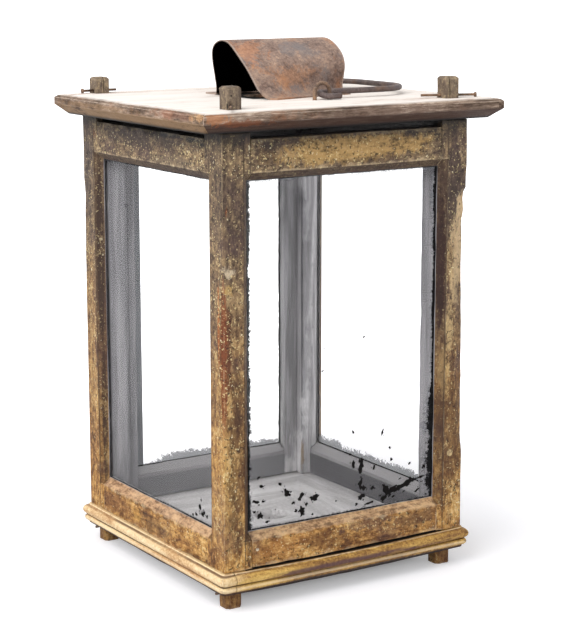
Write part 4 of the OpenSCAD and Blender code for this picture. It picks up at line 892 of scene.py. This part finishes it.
def wornCopy(nodeName, plan):
    # the CAD piece cut finely, its outer edges pushed in by noise and its faces made slightly uneven
    bm = cleanCopy(nodeName)
    bmesh.ops.dissolve_limit(bm, angle_limit=math.radians(0.4), verts=bm.verts, edges=bm.edges)
    low = np.array([min(v.co[i] for v in bm.verts) for i in range(3)])
    high = np.array([max(v.co[i] for v in bm.verts) for i in range(3)])
    ring, step = plan["ring"], plan["step"]
    for axis in range(3):
        values = set()
        for edge in creaseEdges(bm, 0.006):
            a, b = edge.verts[0].co[axis], edge.verts[1].co[axis]
            if abs(a - b) < 1e-5:
                for shift in (-2 * ring, -ring, ring, 2 * ring):
                    values.add(round(a + shift, 5))
        for crack in plan.get("cracks", []):
            if "xyz".index(crack["axis"]) == axis:
                for shift in (-crack["half"], 0, crack["half"]):
                    values.add(round(crack["at"] + shift, 5))
        for value in plan.get("extra", {}).get("xyz"[axis], ()):
            values.add(round(value, 5))
        values = sorted(v for v in values if low[axis] + 1e-4 < v < high[axis] - 1e-4)
        kept = []
        for value in values:
            if not kept or value - kept[-1] > 2.5e-4:
                kept.append(value)
        count = max(1, int(round((high[axis] - low[axis]) / step)))
        for value in np.linspace(low[axis], high[axis], count + 1)[1:-1]:
            if all(abs(value - other) > 0.4 * step for other in kept):
                kept.append(float(value))
        sliceAt(bm, axis, kept)
    bm.verts.index_update()
    worn = {v.index for e in bm.edges if len(e.link_faces) == 2 and e.calc_face_angle_signed() > 0.4 for v in e.verts}
    hollow = {v.index for e in bm.edges if len(e.link_faces) == 2 and e.calc_face_angle_signed() < -0.4 for v in e.verts}
    mesh = bpy.data.meshes.new(plan.get("name", "worn_" + nodeName))
    bm.to_mesh(mesh)
    bm.free()
    points, normals = readPoints(mesh), readNormals(mesh)
    edge = np.zeros(len(points))
    edge[list(worn)] = 1
    edge[list(hollow)] = 0
    seed = plan["seed"]
    chips = 0.45 + 0.55 * smoothNoise(points, 0.011, seed) + 0.45 * smoothNoise(points, 0.034, seed + 1)
    depth = edge * plan["wear"] * np.clip(chips, 0.08, 1.6)
    faces = (1 - edge) * plan["uneven"] * (0.5 + 0.5 * smoothNoise(points * plan["stretch"], 0.006, seed + 2))
    crackMask, bare = np.zeros(len(points)), np.zeros(len(points))
    moved = points - normals * (depth + faces)[:, None]
    for shave in plan.get("shaves", []):
        # a plane through the corner, set back by a depth that follows the height
        square = np.array(shave["normal"]) / np.hypot(*shave["normal"])
        heights, depths = np.array(shave["depths"]).T * mm
        ripple = 1 + 0.25 * smoothNoise(points, 0.009, seed + 5)
        over = (moved[:, :2] - np.array(shave["corner"])) @ square + np.interp(points[:, 2], heights, depths) * ripple
        over = np.where(np.linalg.norm(points[:, :2] - shave["corner"], axis=1) < shave["reach"], np.maximum(over, 0), 0)
        moved[:, :2] -= over[:, None] * square
        bare = np.maximum(bare, np.clip(over / 0.0010, 0, 1))
    if plan.get("round"):
        # rounds the four upright corners of a moulded board, at every height of its outline
        half = np.array(plan["half"])
        out = np.max(np.abs(moved[:, :2]) - half, axis=1)
        inner = half + out[:, None] - plan["round"]
        off = np.abs(moved[:, :2]) - inner
        size = np.hypot(off[:, 0], off[:, 1])
        at = (off > 0).all(axis=1) & (size > plan["round"]) & (out > -plan["round"])
        sign = np.sign(moved[:, :2])
        moved[at, :2] = (sign * (inner + off * (plan["round"] / np.maximum(size, 1e-9))[:, None]))[at]
    for crack in plan.get("cracks", []):
        axis = "xyz".index(crack["axis"])
        inBox = np.all((points > crack["low"]) & (points < crack["high"]), axis=1)
        middle = inBox & (np.abs(points[:, axis] - crack["at"]) < 1e-5)
        moved[middle] += np.array(crack["inward"]) * crack["depth"]
        crackMask[middle] = 1
        near = inBox & (np.abs(points[:, axis] - crack["at"]) < crack["half"] * 1.5)
        moved[near, axis] += smoothNoise(points[near], 0.005, seed + 9) * crack["half"] * 1.2
    bow = plan.get("bow")
    if bow:
        # the warped board sags along its front: a smooth hump of x that grows towards the front edge,
        # and on the rail above it fades out over this height below top
        hump = np.clip(1 - (points[:, 0] / bow["half"]) ** 2, 0, 1) ** 1.3
        moved[:, 2] -= bow["deep"] * hump * np.clip((bow["from"] - points[:, 1]) / bow["reach"], 0, 1) \
            * np.clip((bow["top"] - points[:, 2]) / bow["fade"], 0, 1)
    writePoints(mesh, moved)
    writeMask(mesh, "edge", edge)
    writeMask(mesh, "bare", bare)
    writeMask(mesh, "crack", crackMask)
    return mesh


stretchAlong = {"x": (0.12, 1, 1), "y": (1, 0.12, 1), "z": (1, 1, 0.12)}
woodPieces = {
    "post_front_left": "z", "post_front_right": "z", "post_back_left": "z", "post_back_right": "z",
    "front_top_rail": "x", "front_bottom_rail": "x", "left_top_rail": "y", "left_bottom_rail": "y",
    "right_top_rail": "y", "right_bottom_rail": "y", "back_top_rail": "x",
    "door_hinge_stile": "z", "door_free_stile": "z", "door_top_rail": "x", "door_bottom_rail": "x",
    "turn_button": "z",
}
doorPieces = ("door_hinge_stile", "door_free_stile", "door_top_rail", "door_bottom_rail", "door_glass",
              "hinge_door_leaves", "hinge_door_nails")
# worn corners: the corner's place, the cut plane's normal, and pairs of height and depth in mm
postShaves = {
    "post_front_left": [{"corner": (-0.090, -0.089), "normal": (-1, -1), "reach": 0.012,
                         "depths": [(0, 0.35), (90, 0.4), (112, 1.0), (124, 2.2), (165, 2.7), (194, 2.5), (203, 1.2),
                                    (216, 0.6), (250, 0.9), (258, 0.3), (300, 0.3)]}],
    "post_front_right": [{"corner": (0.090, -0.089), "normal": (0.34, -0.94), "reach": 0.022,
                          "depths": [(0, 0.2), (76, 0.3), (84, 1.6), (110, 2.2), (150, 2.6), (185, 3.6), (225, 3.9),
                                     (243, 3.2), (248, 0.6), (256, 0.1), (320, 0)]},
                         {"corner": (0.090, -0.089), "normal": (1, -0.4), "reach": 0.012,
                          "depths": [(0, 0.2), (78, 0.2), (86, 1.0), (150, 1.0), (240, 1.2), (247, 0.2), (320, 0)]}],
    "post_back_left": [{"corner": (-0.090, 0.089), "normal": (-1, 1), "reach": 0.012,
                        "depths": [(0, 0.5), (200, 0.6), (225, 1.0), (240, 1.5), (248, 0.4), (300, 0.3)]}],
}
postCracks = {
    "post_back_left": [{"axis": "x", "at": -0.0806, "half": 0.0005, "low": (-0.09, 0.06, 0.3041), "high": (-0.07, 0.0775, 0.32),
                        "inward": (0, 1, 0), "depth": 0.003}],
    "post_front_right": [{"axis": "x", "at": 0.0780, "half": 0.0006, "low": (0.07, -0.09, 0.3041), "high": (0.09, -0.085, 0.32),
                          "inward": (0, 1, 0), "depth": 0.003}],
}

railBow = {"half": 0.094, "deep": 0.0012, "from": 0.0, "reach": 0.02, "top": 0.036, "fade": 0.009}


def bodyOf(nodeName):
    if nodeName in doorPieces:
        return "door"
    return {"turn_button": "turn_button", "bail": "bail"}.get(nodeName, "lantern")


def buildWood():
    for number, (nodeName, along) in enumerate(woodPieces.items()):
        plan = {
            "ring": 0.0008, "step": 0.0045, "wear": 0.00075, "uneven": 0.00012, "seed": 11 * number + 3,
            "stretch": np.array(stretchAlong[along]), "cracks": postCracks.get(nodeName, []),
            "shaves": postShaves.get(nodeName, []),
        }
        if plan["shaves"]:
            sideX, sideY = plan["shaves"][0]["corner"]
            back = np.arange(2.4, 18, 1.7) * mm
            plan["extra"] = {"x": sideX - math.copysign(1, sideX) * back, "y": sideY - math.copysign(1, sideY) * back}
            plan["step"] = 0.0035
        if nodeName == "front_bottom_rail":
            plan["bow"] = railBow
        mesh = wornCopy(nodeName, plan)
        addPiece("worn_" + nodeName, mesh, bodyOf(nodeName), frameMaterials[along], (nodeName,))


print("stage: wood")
buildWood()
cornerSlices = np.arange(0.0, 9.0, 0.9) * mm
basePiece = {
    "ring": 0.0007, "step": 0.0045, "wear": 0.0005, "uneven": 0.00015, "seed": 301, "stretch": np.array((1, 1, 1)),
    "round": 0.0030, "half": (0.0900, 0.0890), "bow": {"half": 0.094, "deep": 0.0014, "from": -0.062, "reach": 0.024, "top": 1.0, "fade": 1.0},
    "extra": {"x": np.concatenate([0.0948 - cornerSlices, cornerSlices - 0.0948]),
              "y": np.concatenate([0.0938 - cornerSlices, cornerSlices - 0.0938])},
    "cracks": [{"axis": "x", "at": -0.0835, "half": 0.0004, "low": (-0.09, -0.1, 0.012), "high": (-0.07, -0.088, 0.026),
                "inward": (0, 1, 0), "depth": 0.0022}],
}
addPiece("worn_base_board", wornCopy("base_board", basePiece), "lantern", baseMaterial, ("base_board",))
lidPiece = {
    "ring": 0.0006, "step": 0.005, "wear": 0.00035, "uneven": 0.00010, "seed": 401,
    "stretch": np.array((1, 1, 1)),
}
addPiece("worn_lid_board", wornCopy("lid_board", lidPiece), "lantern", lidMaterial, ("lid_board",))


hoodPlan = {
    "x0": -0.027, "length": 0.073, "sheet": 0.0009, "lidTop": 0.3041,
    "left": [(36, 0, 0), (30, 0, 0), (24.4, 0.6, 0), (22.6, 4, 0), (24.6, 12, 0), (27.4, 22, 0),
             (27.4, 28.6, 0), (23.4, 33, 0), (16, 35.2, 0), (8, 34.2, 0), (1.4, 30.6, 0), (-6, 25.2, 0),
             (-14.6, 18.8, 0), (-22.6, 11.4, 0), (-28.4, 6, 0), (-32, 2.6, 2), (-34.6, 0.8, 4.5), (-37.6, 0, 9)],
    "right": [(36, 0, 0), (30, 0, 0), (25, 0.6, 0), (23.4, 4, 0), (25.4, 12, 0), (28, 21, 0),
              (27, 29, 0), (20.6, 33.6, 0), (11, 35.3, 0), (1.5, 34.6, 0), (-7.4, 30.8, 0), (-14.2, 25.4, 0),
              (-17, 18.6, 0), (-15.6, 10.4, 0), (-14.4, 5.2, 0), (-15.6, 2, 0), (-18.6, 0.2, 0), (-23.6, 0, 0)],
    "steps": 8, "slices": 48, "uneven": 0.0004,
}


def smoothRun(run, steps):
    # a curve through the listed points: each stretch is a cubic of its two ends and their neighbours
    run = np.asarray(run, float) * mm
    padded = np.vstack([run[:1], run, run[-1:]])
    a, b, c, d = (padded[i:len(padded) - 3 + i, None, :] for i in range(4))
    t = (np.arange(steps) / steps)[None, :, None]
    curve = 0.5 * (2 * b + (c - a) * t + (2 * a - 5 * b + 4 * c - d) * t ** 2 + (3 * b - a - 3 * c + d) * t ** 3)
    return np.vstack([curve.reshape(-1, 3), run[-1:]])


def buildHood(plan):
    # ruled between the two end outlines, then given its thickness inwards along each outline's normal
    first, last = smoothRun(plan["left"], plan["steps"]), smoothRun(plan["right"], plan["steps"])
    t = np.linspace(0, 1, plan["slices"] + 1)[:, None, None]
    run = first[None] * (1 - t) + last[None] * t
    y, z, back = run[..., 0], np.maximum(run[..., 1], plan["sheet"]), run[..., 2] * (1 - t[..., 0])
    stepY, stepZ = np.gradient(y, axis=1), np.gradient(z, axis=1)
    size = np.hypot(stepY, stepZ)
    innerY = y - plan["sheet"] * stepZ / size
    innerZ = np.maximum(z + plan["sheet"] * stepY / size, 0)
    x = plan["x0"] + plan["length"] * t[..., 0] + back
    outer = np.stack([x, y, z + plan["lidTop"]], -1)
    inner = np.stack([x, innerY, innerZ + plan["lidTop"]], -1)
    # one closed ring round each section: the inner side, then the outer side back
    ring = np.concatenate([inner, outer[:, ::-1]], 1)
    mesh = gridMesh("worn_hood", ring, closeV=True)
    count = ring.shape[1]
    half = count // 2
    i = np.arange(half - 1)
    cap = np.stack([i, i + 1, count - 2 - i, count - 1 - i], -1)
    farCap = (cap + plan["slices"] * count)[:, ::-1]
    faces = [tuple(p.vertices) for p in mesh.polygons] + [tuple(f) for f in cap.tolist()] + [tuple(f) for f in farCap.tolist()]
    points = readPoints(mesh)
    mesh.clear_geometry()
    mesh.from_pydata(points.tolist(), [], faces)
    bm = bmesh.new()
    bm.from_mesh(mesh)
    bmesh.ops.remove_doubles(bm, verts=bm.verts, dist=1e-7)
    bmesh.ops.recalc_face_normals(bm, faces=bm.faces)
    bm.to_mesh(mesh)
    bm.free()
    points, normals = readPoints(mesh), readNormals(mesh)
    # the inner side, which faces the middle, is black: soot and painted shade inside the hood
    middle = np.array([0.0, 0.003, plan["lidTop"] + 0.014])
    facing = np.einsum("ij,ij->i", normals[:, 1:], (middle - points)[:, 1:])
    high = points[:, 2] - plan["lidTop"]
    sootAndShade = (facing > 0) & (high > 0.0012)
    dents = smoothNoise(points, 0.016, 71) * 0.6 + smoothNoise(points, 0.006, 72) * 0.25
    wave = plan["uneven"] * dents * np.clip((high - 0.001) / 0.006, 0, 1)
    shift = np.zeros_like(points)
    shift[:, 1] = wave * 0.8
    shift[:, 2] = -np.abs(wave) * 0.5
    writePoints(mesh, points + shift)
    ends = np.minimum(points[:, 0] - plan["x0"], plan["x0"] + plan["length"] - points[:, 0])
    writeMask(mesh, "edge", np.clip(1 - ends / 0.0008, 0, 1))
    writeMask(mesh, "sootAndShade", sootAndShade.astype(float))
    addPiece("worn_hood", mesh, "lantern", ironMaterials["sheet"], ("vent_hood",), 50)


print("stage: hood")
buildHood(hoodPlan)


ironPieces = {
    "bail": ("rod", "rod_iron", 0.003), "bail_staple_front": ("small", "iron", 0), "bail_staple_back": ("small", "iron", 0),
    "hood_tacks": ("small", "iron", 0), "hinge_post_leaves": ("small", "iron", 0), "hinge_door_leaves": ("small", "iron", 0),
    "hinge_pins": ("small", "iron", 0), "hinge_post_nails": ("small", "iron", 0), "hinge_door_nails": ("small", "iron", 0),
    "button_nail": ("small", "iron", 0), "lid_nails": ("small", "iron", 0), "foot_nails": ("small", "iron", 0),
    "rail_nails": ("small", "iron", 0),
}


def buildIron():
    for number, (nodeName, (kind, slot, step)) in enumerate(ironPieces.items()):
        bm = cleanCopy(nodeName)
        if step:
            for axis in range(2):
                low = min(v.co[axis] for v in bm.verts)
                high = max(v.co[axis] for v in bm.verts)
                sliceAt(bm, axis, np.arange(low + step, high - step / 2, step).tolist())
        mesh = bpy.data.meshes.new("worn_" + nodeName)
        bm.to_mesh(mesh)
        bm.free()
        points, normals = readPoints(mesh), readNormals(mesh)
        depth = 0.00012 * (0.5 + 0.5 * smoothNoise(points, 0.004, 500 + number))
        writePoints(mesh, points - normals * depth[:, None])
        writeMask(mesh, "edge", np.zeros(len(points)))
        writeMask(mesh, "sootAndShade", np.zeros(len(points)))
        addPiece("worn_" + nodeName, mesh, bodyOf(nodeName), ironMaterials[kind], (nodeName,), 50)


print("stage: iron")
buildIron()


for paneName in ("front_glass", "left_glass", "right_glass", "door_glass"):
    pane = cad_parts[paneName]
    pane.data.materials.clear()
    pane.data.materials.append(glassMaterial)

# each film lies just outside its pane: lower corner, direction across, width and height, body,
# then black bands and grey reach at the left, right, lower and upper sides, and how much wider
# the right side's band gets low down
filmPlan = {
    "front_film": {"corner": (-0.0700, -0.08358, 0.0475), "across": (1, 0, 0), "size": (0.1400, 0.2143), "body": "lantern",
                   "bands": (0.0019, 0.0017, 0.0006, 0.0003), "ragged": (0.0026, 0.0026, 0.0012, 0.0018), "haze": 0.5, "flare": 1.9, "strip": 0},
    "left_film": {"corner": (-0.08458, 0.0690, 0.0475), "across": (0, -1, 0), "size": (0.1380, 0.2143), "body": "lantern",
                  "bands": (0.0005, 0.0004, 0.0005, 0.0003), "ragged": (0.0008, 0.0020, 0.0014, 0.0008), "haze": 0.4, "flare": 0, "strip": 0},
    "right_film": {"corner": (0.08458, -0.0690, 0.0475), "across": (0, 1, 0), "size": (0.1380, 0.2143), "body": "lantern",
                   "bands": (0, 0, 0, 0), "ragged": (0.0008, 0.0010, 0.0036, 0.0010), "haze": 0.85, "flare": 0, "strip": 0},
    "door_film": {"corner": (0.0594, 0.08358, 0.0475), "across": (-1, 0, 0), "size": (0.1188, 0.2143), "body": "door",
                  "bands": (0, 0, 0, 0), "ragged": (0.0008, 0.0010, 0.0034, 0.0008), "haze": 0.85, "flare": 0, "strip": 0.0081},
}


def buildFilms():
    for name, plan in filmPlan.items():
        # a flat grid over the pane; each point keeps its distance from the four sides
        across, width, tall = np.array(plan["across"], float), plan["size"][0], plan["size"][1]
        # and it reaches a little way under the wood on every side
        u, v = np.meshgrid(np.linspace(-hazePlan["under"], width + hazePlan["under"], 37),
                           np.linspace(-hazePlan["under"], tall + hazePlan["under"], 55), indexing="ij")
        points = np.array(plan["corner"]) + u[..., None] * across + v[..., None] * np.array((0, 0, 1.0))
        mesh = gridMesh(name, points)
        # the right side's distance is divided by 1 + flare * (1 at the bottom, 0 above 0.07 m), so its band widens
        flare = 1 + plan["flare"] * np.clip((0.07 - v) / 0.02, 0, 1)
        for label, value in (("fromLeft", u), ("fromRight", (width - u) / flare), ("fromBelow", v), ("fromAbove", tall - v)):
            writeMask(mesh, label, value.ravel())
        material = paneHaze(name + "Dirt", hazePlan, plan["bands"], plan["ragged"], plan["haze"], plan["strip"])
        addPiece(name, mesh, plan["body"], material)


print("stage: panes")
buildFilms()

# black flecks on the front pane: place across and up, half length, half width (mm) and tilt (degrees)
fleckPlan = {
    "pane": -0.08356, "side": "y", "thick": 0.00014, "around": 22, "rings": 4, "wider": 1.42, "longer": 1.08, "crumbs": 2, "seed": 5,
    "flecks": [
        (-46.6, 73.6, 1.5, 0.5, -20), (-42.6, 68.6, 2.0, 0.7, -50), (-41.2, 66.4, 1.8, 1.3, -45), (-32.2, 61.6, 1.2, 0.8, 60),
        (-30.9, 63.8, 2.4, 1.0, 62), (-20.6, 61.0, 2.4, 1.5, 8), (-23.0, 60.4, 1.6, 0.9, 0), (-37.0, 59.9, 1.1, 0.7, 20),
        (-27.2, 57.6, 1.2, 0.6, 75), (-34.9, 54.6, 0.9, 0.7, 0), (-31.0, 54.4, 2.0, 1.3, 70), (-30.4, 52.2, 1.5, 1.2, 0),
        (-64.3, 64.9, 2.0, 0.8, 0), (-58.9, 64.3, 1.2, 0.5, 0), (-60.3, 74.1, 1.8, 0.6, -15), (-62.4, 80.0, 0.7, 0.9, 90),
        (-65.2, 58.7, 1.2, 0.6, 0), (-61.6, 55.8, 2.0, 0.9, 25), (-60.0, 55.0, 1.2, 0.8, -40), (-23.0, 50.2, 0.9, 0.5, 0),
        (8.3, 78.2, 2.2, 0.8, 88), (14.1, 75.8, 3.8, 1.2, 84), (24.2, 73.6, 1.5, 0.6, 70), (13.6, 64.2, 3.0, 1.1, 80),
        (16.0, 61.0, 2.0, 0.9, -60), (14.4, 55.6, 2.0, 1.2, 10), (23.0, 60.2, 1.6, 0.7, 20), (10.6, 51.4, 0.8, 0.7, 0),
        (21.0, 50.6, 3.2, 0.5, 8), (33.6, 57.4, 3.4, 1.7, -50), (38.0, 56.4, 3.6, 1.4, 20), (43.4, 57.0, 4.2, 1.3, 25),
        (49.4, 58.6, 4.0, 1.5, 30), (54.6, 60.4, 3.2, 1.0, 20), (61.0, 61.6, 3.6, 0.7, 10), (66.4, 56.8, 1.6, 1.2, 60),
        (31.6, 51.8, 2.4, 1.0, 10), (37.5, 76.9, 0.9, 0.8, 0), (36.2, 84.7, 1.1, 0.5, -60), (30.4, 95.4, 1.9, 0.5, 70),
        (7.8, 98.8, 1.0, 0.5, -50), (5.6, 84.6, 0.7, 0.6, 0), (-15.4, 140.8, 0.9, 0.5, 50), (-14.4, 155.0, 0.5, 0.4, 0),
        (15.6, 158.7, 0.9, 0.4, 30), (52.0, 72.0, 1.0, 0.5, 20), (63.0, 68.0, 1.6, 0.8, 60), (58.0, 53.0, 2.0, 0.6, 30),
        (-56.0, 51.0, 1.6, 0.5, 10), (-5.0, 56.0, 0.5, 0.4, 0), (-50.0, 58.0, 0.5, 0.3, 0), (67.4, 84.0, 1.6, 0.7, 80),
        (67.6, 100.0, 2.0, 0.6, 85), (68.0, 118.0, 1.4, 0.5, 85), (-41.9, 67.1, 1.4, 1.1, -30), (-20.8, 60.8, 2.0, 1.3, 10),
    ],
}

leftFlecks = [(-50.9, 56.8, 1.9, 0.9, 80), (-45.8, 50.9, 1.4, 0.8, 30), (-55.7, 54.2, 1.5, 0.8, 70), (-42.0, 49.5, 0.9, 0.6, 0),
              (-59.3, 52.5, 1.2, 0.7, -40), (-52.2, 61.6, 0.9, 0.6, 60), (-53.5, 53.0, 2.0, 1.0, 85)]


def buildFlecks(name, plan, paint):
    # each fleck is a low dome: an ellipse whose rim wanders with the angle, raised towards its middle
    # crumbs lie round every fleck, at random angles and up to 1.6 fleck lengths away
    rows = np.array(plan["flecks"], float)
    draw = np.random.default_rng(plan["seed"])
    crumbs = np.repeat(rows, plan["crumbs"], axis=0)
    turn, reach = draw.uniform(0, 2 * np.pi, len(crumbs)), crumbs[:, 2] * draw.uniform(0.9, 1.6, len(crumbs))
    crumbs[:, 0] += reach * np.cos(turn)
    crumbs[:, 1] += reach * np.sin(turn)
    crumbs[:, 2:4] *= draw.uniform(0.16, 0.36, (len(crumbs), 1))
    rows = np.vstack([rows, crumbs]) * (1, 1, plan["longer"], plan["wider"], 1)
    angle = np.linspace(0, 2 * np.pi, plan["around"], endpoint=False)
    ring = np.linspace(0, 1, plan["rings"])
    count = len(rows)
    number = np.arange(count)[:, None]
    sway = smoothNoise(np.stack([np.cos(angle)[None] * 1.3 + number * 7.1, np.sin(angle)[None] * 1.3 + number * 3.3,
                                 np.zeros((count, len(angle)))], -1).reshape(-1, 3), 0.55, 17).reshape(count, -1)
    rim = 1 + 0.55 * sway
    along = ring[None, :, None] * rim[:, None] * np.cos(angle) * rows[:, 2, None, None]
    aside = ring[None, :, None] * rim[:, None] * np.sin(angle) * rows[:, 3, None, None]
    tilt = np.radians(rows[:, 4])[:, None, None]
    x = (rows[:, 0, None, None] + along * np.cos(tilt) - aside * np.sin(tilt)) * mm
    z = (rows[:, 1, None, None] + along * np.sin(tilt) + aside * np.cos(tilt)) * mm
    out = plan["pane"] - plan["thick"] * (1 - ring ** 2)[None, :, None] * np.ones_like(x)
    x, z = np.clip(x, -0.0688, 0.0688), np.clip(z, 0.0477, 0.2616)
    points = np.stack([x, out, z] if plan["side"] == "y" else [out, x, z], -1).reshape(-1, 3)
    u, v = np.meshgrid(np.arange(plan["rings"] - 1), np.arange(plan["around"]), indexing="ij")
    after = (v + 1) % plan["around"]
    cell = np.stack([u * plan["around"] + v, u * plan["around"] + after,
                     (u + 1) * plan["around"] + after, (u + 1) * plan["around"] + v], -1).reshape(-1, 4)
    start = np.arange(count)[:, None, None] * plan["rings"] * plan["around"]
    mesh = bpy.data.meshes.new(name)
    mesh.from_pydata(points.tolist(), [], (cell[None] + start).reshape(-1, 4).tolist())
    bm = bmesh.new()
    bm.from_mesh(mesh)
    bmesh.ops.remove_doubles(bm, verts=bm.verts, dist=1e-7)
    bm.to_mesh(mesh)
    bm.free()
    addPiece(name, mesh, "lantern", paint)


fleckMaterial = fleckPaint()
buildFlecks("front_flecks", fleckPlan, fleckMaterial)
buildFlecks("left_flecks", {**fleckPlan, "pane": -0.08456, "side": "x", "flecks": leftFlecks}, fleckMaterial)

print("stage: camera and light")
placeCamera(cameraPlan)
placeLamps(lampPlan)
paintWorld(worldPlan)
layFloor(floorPlan)
scene.view_settings.view_transform = "Standard"
